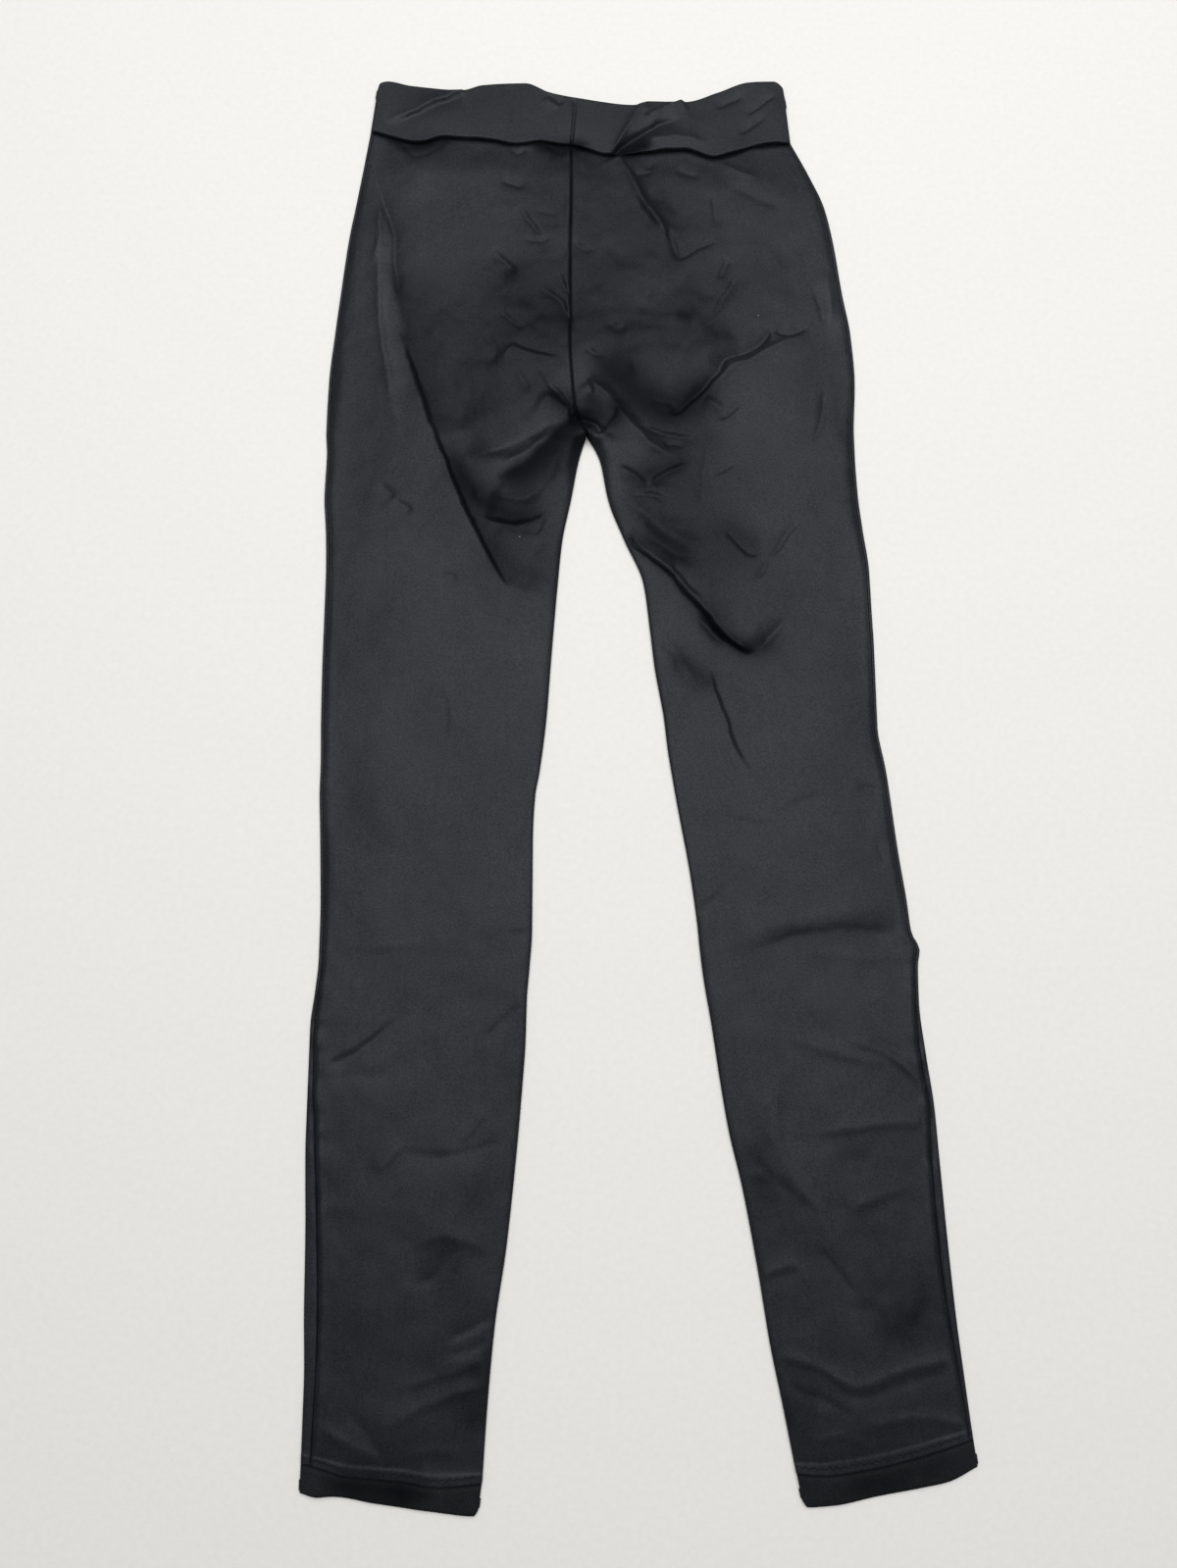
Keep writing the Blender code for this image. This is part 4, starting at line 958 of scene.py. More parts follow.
    def front(self) -> tuple[Array, Array]:
        """The front panel's outer face.

        Returns:
            Its points in rows, and for each point how far it lies across and along the panel, and its share of
            gloss and tone, which holds painted shade and painted highlight.
        """
        across, from_seam = self._front_columns()
        x, y = self.on_floor(across)
        flat_part = 1 - self.curl
        held = smooth_step((from_seam + 1.0) / FOLD_REACH)
        held = held * (flat_part + self.curl * smooth_step((across + 1.0) / FOLD_REACH))
        moved = creased(SHARED_CREASES + self.cut.creases, x, y)
        moved = moved + flat_part[:, :, None] * creased(self.cut.other_creases, x, y)
        below_waist = line_y(WAIST_SEAM, x) - y
        loose = smooth_step(below_waist / self.loft_reach) * smooth_step(self.above_hem / self.loft_reach)
        loose = loose * self._roll_and_rise(from_seam)
        loose = loose * (flat_part + self.curl * self._roll_and_rise(across))
        under_band = smooth_step((below_waist + 1.0) / self.held_over)
        above_tuck = smooth_step((self.above_hem - TUCK_DEPTH) / self.held_over)
        # The painted shade and highlight patches; the rumples are also made stronger where the cloth is painted
        # darker.
        painted_shading = painted_shading_at(x, y)
        rumples = added(self.rumples, self.first_rumples.at(x, y), x, y)
        waves = self.broad_waves.at(x, y) + rumples * (0.3 + 0.7 * smooth_step(2.0 * (1 - painted_shading)))
        lift = (moved[:, :, 2] + waves) * held * under_band * above_tuck
        x = x + moved[:, :, 0] * held * under_band
        y = y + moved[:, :, 1] * held * under_band
        z = BODY_TOP + self.loft * loose + lift
        z = self.least_top + np.logaddexp(0.0, (z - self.least_top) * self.low_bend) / self.low_bend
        z = self.most_top - np.logaddexp(0.0, (self.most_top - z) * self.high_bend) / self.high_bend
        z = z - self.band_dip * bump(below_waist, self.dip_width) + self._tuck_lift()
        z = z + self._seam_relief(from_seam, y)
        z = z - flat_part * (self.centre_groove * bump(across, 0.8) - 0.2 * bump(across - 2.2, 1.2))
        z = z - self._inseam_drop(across)
        z = z + (1 - above_tuck) * self.tuck_waves.at(x, y * 0.3)
        # Painted shadow under the band's lower edge: the cloth is painted darker and less glossy in a narrow
        # strip there.
        shade_width = self.shade_width + self.shade_waves.at(x, 0 * y)
        shade = self.band_shade * bump(below_waist - 0.4, shade_width)
        return np.stack([x, y, z], axis=2), np.stack([across, y, painted_shading * np.exp(-shade)], axis=2)

    def back(self) -> tuple[Array, Array]:
        """The back panel's outer face: flat on the floor, and wrapped round the outer edge to the side seam.

        Returns:
            Its points in rows, and for each point how far it lies across and along the panel, and its share of
            gloss and tone, which has no painted shade here.
        """
        edge = np.array(self.back_edge_columns)[None, :]
        half = BODY_TOP / 2
        turn = self.width - half
        share = np.linspace(0, 1, self.back_columns)[None, 1:-1]
        start = np.broadcast_to(edge, (len(self.width), edge.shape[1]))
        flat = np.concatenate([start, start[:, -1:] + share * (turn - start[:, -1:])], axis=1)
        angles = np.radians(np.linspace(-90, 90, 9))[None, :]
        on_top = np.linspace(1, 0, 6)[None, 1:] ** 1.5
        seam = self.width - self.seam_in + SEAM_GAP / 2
        across = np.concatenate([flat, turn + half * np.cos(angles), seam + on_top * (turn - seam)], axis=1)
        x, y = self.on_floor(across)
        dents = creased(BACK_CREASES, x[:, : flat.shape[1]], y[:, : flat.shape[1]])[:, :, 2]
        held = smooth_step(flat / 20.0) * smooth_step((turn - flat) / 20.0)
        below = self._inseam_drop(flat) + dents * held
        turned = half * (1 + np.sin(angles)) * np.ones_like(turn)
        from_seam = (across - seam)[:, -on_top.shape[1] :]
        above = BODY_TOP + self._seam_relief(from_seam, y[:, -on_top.shape[1] :])
        z = np.concatenate([below, turned, above], axis=1)
        lifted = np.concatenate([np.zeros_like(flat), turned / BODY_TOP, np.ones_like(above)], axis=1)
        z = z + self._tuck_lift() * lifted
        return np.stack([x, y, z], axis=2), np.stack([across, y, np.ones_like(y)], axis=2)


# ---- Waistband and hems


def ring_columns(
    ends: Pair, half: float, top_step: float, bottom_step: float, join: tuple[float, float] | None
) -> tuple[Array, Array]:
    """One turn round a flattened tube: from its low-X end over the top to the high-X end, and back underneath.

    Args:
        ends: Lowest and highest X.
        half: Half the tube's height.
        top_step: Column spacing on top.
        bottom_step: Column spacing underneath.
        join: X on top where the turn starts and ends, and how far from it, or None to start at the low-X end.

    Returns:
        X of each column and its height as a share of half, from -1 to 1. The last column meets the first.
    """
    low, high = ends[0] + half, ends[1] - half
    angles = np.radians(np.linspace(-90, 90, 9))
    top = np.linspace(low, high, int((high - low) / top_step))[1:-1]
    bottom = np.linspace(high, low, int((high - low) / bottom_step))[1:-1]
    if join is not None:
        at, gap = join
        beside = np.array([-2.4, -1.5, -0.8, -0.35, -gap, gap, 0.35, 0.8, 1.5, 2.4]) + at
        top = np.sort(np.concatenate([top[abs(top - at) > 2.8], beside]))
    x = np.concatenate([low - half * np.cos(angles), top, high + half * np.cos(angles[::-1]), bottom])
    up = np.concatenate([np.sin(angles), np.ones_like(top), np.sin(angles[::-1]), -np.ones_like(bottom)])
    if join is not None:
        first = int(np.flatnonzero(np.isclose(x, at + gap) & (up > 0.5))[0])
        return np.roll(x, -first), np.roll(up, -first)
    return np.append(x, x[0]), np.append(up, up[0])


def upper_side(up: Array) -> Array:
    """Which columns of a flattened tube are on top.

    Args:
        up: Each column's height, from -1 to 1.

    Returns:
        1 on top and 0 underneath, with a short slope between them.
    """
    return smooth_step((up + 0.15) / 0.3)


@dataclass(frozen=True)
class Waistband:
    """One strip of cloth, folded double over its top edge, whose ends meet at the centre front, mm."""

    top: float = 3.5  # its height off the floor
    cloth: float = 0.8
    top_step: float = 0.9
    bottom_step: float = 2.6
    join_gap: float = 0.04  # from the middle of the join to each of its ends
    join_slant: float = 3.0  # how far the join runs towards +X up the band
    overhang: float = 1.1  # how far the band's lower edge hangs over the waist seam
    overhang_waves: Waves = Waves(15, 14.0, 0.9)
    back_lower: float = 1.2  # how much lower the folded edge lies underneath
    turn: float = 1.8  # how far down from the folded edge it is rounded
    turned_in: float = 7.0  # how far the strip turns inwards
    about_high: float = 40.0  # the band's height, roughly
    lip: float = 0.7  # the round of the lower edge
    lip_drop: float = 2.4  # and how far it drops
    edge_open: float = 0.12  # how far apart its sides are at the folded edge, as a share of its height
    inside_open: float = 0.08  # and where the strip is turned in
    puff: float = 0.7  # how much more it stands up towards its lower edge
    puff_reach: float = 26.0  # how far down from the folded edge that is reached
    groove: float = 1.3  # depth of the groove where its ends meet
    groove_width: float = 0.8
    broad_waves: Waves = Waves(12, 30.0, 0.5)
    rumples: tuple[Waves, ...] = (Waves(13, 11.0, 0.15),)
    lower_rows: tuple[float, ...] = (0.0, 0.0012, 0.003, 0.007, 0.015, 0.03, 0.055)  # shares of the height
    top_rows: tuple[float, ...] = (0.957, 0.972, 0.986, 0.996, 1.0)

    def points(self) -> tuple[Array, Array]:
        """The waistband's outer face, which turns inwards over its folded top edge.

        Returns:
            Its points in rows from the waist seam up, and their places in the flat cloth with their share of
            gloss and tone, which holds painted shade and painted highlight.
        """
        half, centre = self.top / 2, CENTRE_SEAM[0][0]
        low_ends = (WAIST_SEAM[0][0], WAIST_SEAM[-1][0])
        high_ends = (BAND_EDGE[0][0], BAND_EDGE[-1][0])
        x0, up = ring_columns(low_ends, half, self.top_step, self.bottom_step, (centre, self.join_gap))
        share = (x0 - low_ends[0]) / (low_ends[1] - low_ends[0])
        x1 = high_ends[0] + share * (high_ends[1] - high_ends[0])
        front = upper_side(up)
        y0 = line_y(WAIST_SEAM, x0) + SEAM_GAP / 2 - (self.overhang + self.overhang_waves.at(x0, x0)) * front
        y1 = line_y(BAND_EDGE, x1) - self.back_lower * (1 - front)
        outside = np.concatenate([self.lower_rows, np.linspace(0.08, 0.94, 42), self.top_rows])
        inside = np.linspace(1.0, 1.0 - self.turned_in / self.about_high, 6)[1:]
        rows = np.concatenate([outside, inside])[:, None]
        is_inside = (np.arange(len(rows)) >= len(outside))[:, None]
        x, y = x0 + (x1 - x0) * rows, y0 + (y1 - y0) * rows
        height = (y1 - y0)[None, :]
        from_seam = rows * height
        rounded = quarter_round((1 - rows) * height / self.turn)
        opened = self.edge_open + (1 - self.edge_open) * rounded
        level = np.where(is_inside, up * self.inside_open, up * opened)
        lower = np.clip(1 - from_seam / self.lip, 0, 1)
        lip_drop = self.lip_drop * (1 - quarter_round(from_seam / self.lip)) * front
        drop = np.where(is_inside, 0.0, lip_drop)
        moved = creased(BAND_CREASES, x, y)
        from_side = np.minimum(x - x.min(), x.max() - x)
        held = smooth_step(from_side / FOLD_REACH) * front
        waves = added(self.rumples, self.broad_waves.at(x, y), x, y)
        puff = self.puff * smooth_step((height - from_seam) / self.puff_reach)
        lift = (moved[:, :, 2] + waves + puff) * held * rounded * (1 - 0.85 * lower)
        z = half + half * level - drop + lift
        to_join = abs(x - (centre + rows * self.join_slant))
        groove = self.groove * bump(to_join, self.groove_width)
        groove = groove * smooth_step((height - from_seam - 1.0) / 4.0)
        z = z - front * np.where(is_inside, 0, groove)
        x = x + moved[:, :, 0] * held
        y = y + moved[:, :, 1] * held * smooth_step(from_seam / 12.0)
        along = rows * height + np.where(is_inside, 60.0, 0.0)
        # The painted shade and highlight patches reach the waistband too.
        places = np.stack([x0 + np.zeros_like(rows), along, painted_shading_at(x, y)], axis=2)
        return np.stack([x, y, np.maximum(z, 0.0)], axis=2), places


@dataclass(frozen=True)
class AnkleHem:
    """The turned-up end of a leg, below the stitched tuck, mm."""

    cut: LegCut
    top_step: float = 0.8
    bottom_step: float = 1.6
    under_tuck: float = 1.6  # how far it reaches up under the tuck
    turn: float = 1.4  # how far up from the lower edge it is rounded
    edge_open: float = 0.15  # how far apart its sides are at the lower edge, as a share of its height
    inside_open: float = 0.1  # and where it is turned in
    groove: float = 0.35  # depth of the groove along the tuck
    groove_width: float = 1.4
    gloss_and_painted_shade: float = 0.75  # the hem's gloss and tone, as a share of the legs'
    shade: float = 1.2  # painted shade: how much darker and less glossy the hem is painted in the groove
    shade_width: float = 1.3
    inside_rows: tuple[float, ...] = (0.9, 0.75, 0.6)
    edge_rows: tuple[float, ...] = (0.92, 0.95, 0.975, 0.992, 1.0)

    def points(self) -> tuple[Array, Array]:
        """The hem's outer face, which turns inwards at the bottom edge.

        Returns:
            Its points in rows from the tuck downwards, and their places in the flat cloth with their share of
            gloss and tone, which holds painted shade.
        """
        half, cut = BODY_TOP / 2, self.cut
        top_ends, low_ends = cut.tuck_ends(), cut.hem_ends()
        x0, up = ring_columns(top_ends, half, self.top_step, self.bottom_step, None)
        share = (x0 - top_ends[0]) / (top_ends[1] - top_ends[0])
        x1 = low_ends[0] + share * (low_ends[1] - low_ends[0])
        y0 = line_y(cut.tuck, x0) - SEAM_GAP / 2 + self.under_tuck
        y1 = line_y(cut.hem, x1)
        outside = np.concatenate([np.linspace(0, 0.88, 22), self.edge_rows])
        rows = np.concatenate([outside, self.inside_rows])[:, None]
        is_inside = (np.arange(len(rows)) >= len(outside))[:, None]
        x, y = x0 + (x1 - x0) * rows, y0 + (y1 - y0) * rows
        rounded = quarter_round((1 - rows) * (y0 - y1)[None, :] / self.turn)
        opened = self.edge_open + (1 - self.edge_open) * rounded
        level = np.where(is_inside, up * self.inside_open, up * opened)
        front = upper_side(up)
        waves = Waves(cut.hem_seed, 13.0, 0.5).at(x, y) + Waves(cut.hem_seed + 5, 5.0, 0.18).at(x, y * 0.4)
        under = rows * (y0 - y1)[None, :] - self.under_tuck
        z = half + half * level + waves * rounded * front * (1 - is_inside)
        z = z - self.groove * front * bump(under, self.groove_width)
        along = 15.0 * rows + np.where(is_inside, 30.0, 0.0)
        # Painted shade in the groove along the tuck, on top of the painted shade patches.
        gloss_and_painted_shade = self.gloss_and_painted_shade * painted_shading_at(x, y) * np.exp(-self.shade * bump(under, self.shade_width))
        places = np.stack(np.broadcast_arrays(x0[None, :], along, gloss_and_painted_shade), axis=2)
        return np.stack([x, y, np.maximum(z, 0.0)], axis=2), places


# ---- Meshes


def grid_mesh(name: str, points: Array, places: Array, facing: Facing, welded: bool) -> bpy.types.Mesh:
    """A grid of faces through rows of points.

    Args:
        name: The mesh's name.
        points: Rows of points, mm.
        places: Each point's place in the flat cloth, mm, kept as the UV map, and its share of gloss and tone
            with the painted shade and highlight.
        facing: Which way the face in the middle of the first columns' upper side looks.
        welded: Whether the last column is the first one again.

    Returns:
        The mesh, in metres.
    """
    rows, columns = points.shape[:2]
    middle, quarter = rows // 2, columns // 4
    across = points[middle, quarter + 1] - points[middle, quarter]
    along = points[middle + 1, quarter] - points[middle, quarter]
    if np.cross(across, along)[2] * facing.value < 0:
        points, places = points[:, ::-1], places[:, ::-1]
    made = bmesh.new()
    bmesh.ops.create_grid(made, x_segments=columns - 1, y_segments=rows - 1, size=1.0)
    mesh = bpy.data.meshes.new(name)
    made.to_mesh(mesh)
    made.free()
    flat = np.empty(len(mesh.vertices) * 3, np.float32)
    mesh.vertices.foreach_get("co", flat)
    flat = flat.reshape(-1, 3)
    column = np.rint((flat[:, 0] + 1) / 2 * (columns - 1)).astype(int)
    row = np.rint((flat[:, 1] + 1) / 2 * (rows - 1)).astype(int)
    mesh.vertices.foreach_set("co", (points[row, column] * MM).astype(np.float32).ravel())
    corners = np.empty(len(mesh.loops), np.int32)
    mesh.loops.foreach_get("vertex_index", corners)
    knit = mesh.uv_layers.new(name="knit")
    knit.uv.foreach_set("vector", (places[row, column, :2][corners] * MM).astype(np.float32).ravel())
    gloss_and_painted_shade = mesh.attributes.new("gloss_and_painted_shade", "FLOAT", "POINT")
    gloss_and_painted_shade.data.foreach_set("value", places[row, column, 2].astype(np.float32))
    if welded:
        made = bmesh.new()
        made.from_mesh(mesh)
        ends = [v for v, c in zip(made.verts, column) if c in (0, columns - 1)]
        bmesh.ops.remove_doubles(made, verts=ends, dist=1e-7)
        made.to_mesh(mesh)
        made.free()
    mesh.shade_smooth()
    mesh.update()
    return mesh


@dataclass
class ClothSheet:
    """One cut piece of cloth: its grid of points, and what it says of its flat cut."""

    name: str
    slot: str
    points: Array  # rows of points, mm
    places: Array  # their places in the flat cloth, mm, and their share of gloss and tone with the painted shade and highlight
    facing: Facing
    flat: Pair  # metres
    area: float  # square metres
    rests_on: tuple[str, ...]
    welded: bool = False  # whether it closes into a ring
    thickness: float = CLOTH  # mm
    kept: float = 1.0  # share of the faces that is kept, all of the loss on the inner side
    extras: list[bpy.types.Object] = field(default_factory=list)

    def build(self, material: bpy.types.Material) -> bpy.types.Object:
        """Makes the piece, which stands for the solid of the same name.

        Args:
            material: The cloth's material.

        Returns:
            The new object.
        """
        node = self.name
        mesh = grid_mesh(f"{node}_cloth", self.points, self.places, self.facing, self.welded)
        mesh.materials.append(material)
        piece = bpy.data.objects.new(f"{node}_cloth", mesh)
        bpy.context.scene.collection.objects.link(piece)
        inner = piece.vertex_groups.new(name="inner_side")
        thick = piece.modifiers.new("thickness", "SOLIDIFY")
        thick.thickness = self.thickness * MM
        thick.offset = -1.0
        thick.use_even_offset = False
        thick.shell_vertex_group = inner.name
        if self.kept < 1.0:
            plain = piece.modifiers.new("plainer_inside", "DECIMATE")
            plain.ratio = self.kept
            plain.vertex_group = inner.name
        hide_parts(node)
        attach(piece, "root")
        LOG.info("%s: %d faces", piece.name, len(mesh.polygons))
        return piece


# ---- Stitches


@dataclass(frozen=True)
class StitchRow:
    """A zigzag row of cover stitches on a hem's tuck, mm."""

    cut: LegCut
    pitch: float = 2.1
    swing: float = 1.3
    thread: float = 0.24  # its radius
    above: float = 3.6  # above the tuck's lower edge
    stand_off: float = 0.12  # of the thread's middle from the cloth
    left_bare: float = 10.0  # of the tuck's length, when the stitches are counted
    near_tuck: float = 12.0  # how far up the panel the cloth under a stitch is looked for
    drawn: float = 0.94  # a stitch's length as a share of the way to the next hole

    def _holes(self, surface: Array) -> list[Vector]:
        """Where the thread goes through the cloth.

        Args:
            surface: The front panel's points.

        Returns:
            The places, in metres.
        """
        tuck = self.cut.tuck
        low, high = self.cut.tuck_ends()
        before, after = self.cut.stitch_ends
        count = int((high - low - self.left_bare) / self.pitch)
        x = np.linspace(low + before, high - after, count)
        y = line_y(tuck, x) + self.above + self.swing * np.where(np.arange(count) % 2, 0.5, -0.5)
        near = surface[surface[:, :, 1] < line_y(tuck, surface[:, :, 0]) + self.near_tuck]
        holes = []
        for px, py in zip(x, y):
            nearest = np.argmin((near[:, 0] - px) ** 2 + (near[:, 1] - py) ** 2)
            holes.append(Vector((px, py, near[nearest, 2] + self.stand_off)) * MM)
        return holes

    def build(self, surface: Array, material: bpy.types.Material) -> bpy.types.Object:
        """Makes the row on the front panel.

        Args:
            surface: The front panel's points.
            material: The thread's material.

        Returns:
            The joined stitches.
        """
        holes, radius = self._holes(surface), self.thread * MM
        made = bmesh.new()
        for a, b in zip(holes, holes[1:]):
            way = b - a
            turn = way.to_track_quat("Z", "Y").to_matrix().to_4x4()
            turn.translation = (a + b) / 2
            length = way.length * self.drawn
            bmesh.ops.create_cone(
                made, cap_ends=True, segments=6, radius1=radius, radius2=radius, depth=length, matrix=turn
            )
        mesh = bpy.data.meshes.new(f"stitches_{self.cut.side.value}")
        made.to_mesh(mesh)
        made.free()
        mesh.shade_smooth()
        mesh.set_sharp_from_angle(angle=math.radians(50))
        mesh.materials.append(material)
        row = bpy.data.objects.new(mesh.name, mesh)
        bpy.context.scene.collection.objects.link(row)
        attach(row, "root")
        LOG.info("%s: %d stitches", row.name, len(holes) - 1)
        return row


# ---- Materials


class NodeBuilder:
    """Puts shader nodes in a tree and joins them."""

    def __init__(self, tree: bpy.types.NodeTree) -> None:
        """Keeps the tree.

        Args:
            tree: The node tree to build in.
        """
        self.tree = tree

    def add(self, kind: str, **values: object) -> bpy.types.Node:
        """A new node.

        Args:
            kind: Its type.
            values: Properties to set on it.

        Returns:
            The node.
        """
        node = self.tree.nodes.new(kind)
        for key, value in values.items():
            setattr(node, key, value)
        return node

    def join(self, source: bpy.types.NodeSocket, target: bpy.types.NodeSocket) -> None:
        """Joins an output to an input.

        Args:
            source: The output.
            target: The input.
        """
        self.tree.links.new(source, target)

    def maths(self, operation: str, a: object, b: object) -> bpy.types.NodeSocket:
        """Works out one operation on two values or sockets.

        Args:
            operation: The Math node's operation.
            a: The first value or socket.
            b: The second value or socket.

        Returns:
            The result's socket.
        """
        node = self.add("ShaderNodeMath", operation=operation)
        for socket, value in zip(node.inputs, (a, b)):
            if isinstance(value, bpy.types.NodeSocket):
                self.join(value, socket)
            else:
                socket.default_value = value
        return node.outputs[0]

    def noise(self, where: bpy.types.NodeSocket, scale: float, detail: float = 2.0) -> bpy.types.NodeSocket:
        """Noise from 0 to 1.

        Args:
            where: The coordinates.
            scale: Features per metre.
            detail: Its detail.

        Returns:
            The noise's socket.
        """
        node = self.add("ShaderNodeTexNoise")
        node.inputs["Scale"].default_value = scale
        node.inputs["Detail"].default_value = detail
        self.join(where, node.inputs["Vector"])
        return node.outputs["Fac"]

    def mixed(self, *parts: tuple[bpy.types.NodeSocket, float]) -> bpy.types.NodeSocket:
        """A sum of sockets, each times its own share.

        Args:
            parts: Each socket and its share.

        Returns:
            The sum's socket.
        """
        shares = [self.maths("MULTIPLY", socket, share) for socket, share in parts]
        total = shares[0]
        for share in shares[1:]:
            total = self.maths("ADD", total, share)
        return total

    def ramp(
        self, factor: bpy.types.NodeSocket, low: tuple[float, Colour], high: tuple[float, Colour]
    ) -> bpy.types.NodeSocket:
        """A ramp from one colour to another.

        Args:
            factor: Where to read it.
            low: The first colour, and where it ends.
            high: The other colour, and where it starts.

        Returns:
            The colour's socket.
        """
        node = self.add("ShaderNodeValToRGB")
        for element, (position, colour) in zip(node.color_ramp.elements, (low, high)):
            element.position, element.color = position, (*colour, 1.0)
        self.join(factor, node.inputs["Fac"])
        return node.outputs["Color"]

    def relief(self, height: bpy.types.NodeSocket, strength: float, depth: float) -> bpy.types.NodeSocket:
        """A fine relief of the surface.

        Args:
            height: Its height.
            strength: Its strength.
            depth: Its depth, metres.

        Returns:
            The normal's socket.
        """
        node = self.add("ShaderNodeBump")
        node.inputs["Strength"].default_value = strength
        node.inputs["Distance"].default_value = depth
        self.join(height, node.inputs["Height"])
        return node.outputs["Normal"]


@dataclass(frozen=True)
class KnitPattern:
    """The stretch knit's surface, with its scales in features per metre."""

    broad: float = 16.0
    patch: float = 75.0
    streak: float = 420.0
    streak_squeeze: float = 0.08  # streaks are drawn out along the cloth by this scale
    grain: float = 900.0
    fine: float = 2200.0
    loose_relief: float = 330.0
    soft_relief: float = 95.0
    full_gloss: float = 0.82  # coat weight of the lightest loops
    least_tone: float = 0.1  # share of the tone that is left where the painted shade leaves no gloss
    lint_cells: float = 45.0
    lint_rare: float = 0.93  # cells above this have a speck
    lint_size: float = 0.026

    def _group(self) -> bpy.types.NodeTree:
        """An empty node group with its inputs and outputs.

        Returns:
            The node group.
        """
        tree = bpy.data.node_groups.new("stretch_knit", "ShaderNodeTree")
        face = tree.interface
        face.new_socket(name="Place", in_out="INPUT", socket_type="NodeSocketVector")
        face.new_socket(name="Cloth Place", in_out="INPUT", socket_type="NodeSocketVector")
        for name, value in (("Painted Shading", 1.0), ("Mottle", 0.3), ("Grain", 0.3), ("Lint", 0.5)):
            face.new_socket(name=name, in_out="INPUT", socket_type="NodeSocketFloat").default_value = value
        for name in ("Tone And Painted Shade", "Gloss And Painted Shade", "Roughness", "Lint Mask", "Height"):
            face.new_socket(name=name, in_out="OUTPUT", socket_type="NodeSocketFloat")
        return tree

    def _lint(self, build: NodeBuilder, place: bpy.types.NodeSocket) -> bpy.types.NodeSocket:
        """A few specks of lint.

        Args:
            build: The group's builder.
            place: The coordinates.

        Returns:
            A mask that is 1 on a speck.
        """
        cells = build.add("ShaderNodeTexVoronoi")
        cells.inputs["Scale"].default_value = self.lint_cells
        build.join(place, cells.inputs["Vector"])
        chosen = build.add("ShaderNodeSeparateColor")
        build.join(cells.outputs["Color"], chosen.inputs["Color"])
        rare = build.maths("GREATER_THAN", chosen.outputs[0], self.lint_rare)
        small = build.maths("LESS_THAN", cells.outputs["Distance"], self.lint_size)
        return build.maths("MULTIPLY", rare, small)

    def build(self) -> bpy.types.NodeTree:
        """Makes the group that gives tone and gloss, with the painted shade and painted highlight in both,
        roughness, lint and the height of the loops.

        Returns:
            The node group.
        """
        tree = self._group()
        build = NodeBuilder(tree)
        given, made = build.add("NodeGroupInput"), build.add("NodeGroupOutput")
        place, cloth = given.outputs["Place"], given.outputs["Cloth Place"]
        broad = build.noise(place, self.broad, 3.0)
        patch = build.noise(place, self.patch, 4.0)
        squeeze = build.add("ShaderNodeMapping")
        squeeze.inputs["Scale"].default_value = (1.0, self.streak_squeeze, 1.0)
        build.join(cloth, squeeze.inputs["Vector"])
        streak = build.noise(squeeze.outputs["Vector"], self.streak, 2.0)
        mottle = build.mixed((broad, 0.5), (patch, 0.3), (streak, 0.2))
        mottle = build.maths("MULTIPLY", build.maths("SUBTRACT", mottle, 0.5), given.outputs["Mottle"])
        grain, fine = build.noise(place, self.grain, 2.0), build.noise(place, self.fine, 1.0)
        grained = build.mixed((grain, 0.6), (fine, 0.4))
        speckle = build.maths("MULTIPLY", build.maths("SUBTRACT", grained, 0.5), given.outputs["Grain"])
        tone = build.maths("ADD", 0.5, build.maths("ADD", mottle, speckle))
        # Painted shade and painted highlight: the tone is darkened towards least_tone where the mask is low,
        # and lightened where it is above 1.
        painted_shading = given.outputs["Painted Shading"]
        kept = build.maths("ADD", self.least_tone, build.maths("MULTIPLY", painted_shading, 1.0 - self.least_tone))
        build.join(build.maths("MULTIPLY", tone, kept), made.inputs["Tone And Painted Shade"])
        glint = build.maths("ADD", 0.5, build.maths("ADD", build.maths("MULTIPLY", mottle, 0.3), speckle))
        # The coat's weight follows the same painted shade and highlight.
        gloss_and_painted_shade = build.maths("MULTIPLY", painted_shading, self.full_gloss)
        build.join(build.maths("MULTIPLY", glint, gloss_and_painted_shade), made.inputs["Gloss And Painted Shade"])
        build.join(build.maths("ADD", 0.5, mottle), made.inputs["Roughness"])
        lint = build.maths("MULTIPLY", self._lint(build, place), given.outputs["Lint"])
        build.join(lint, made.inputs["Lint Mask"])
        loose = build.noise(place, self.loose_relief, 2.0)
        soft = build.noise(place, self.soft_relief, 2.0)
        height = build.maths(
            "ADD", build.mixed((grained, 0.25), (loose, 0.16)), build.mixed((soft, 0.4), (streak, 0.1))
        )
        build.join(height, made.inputs["Height"])
        return tree


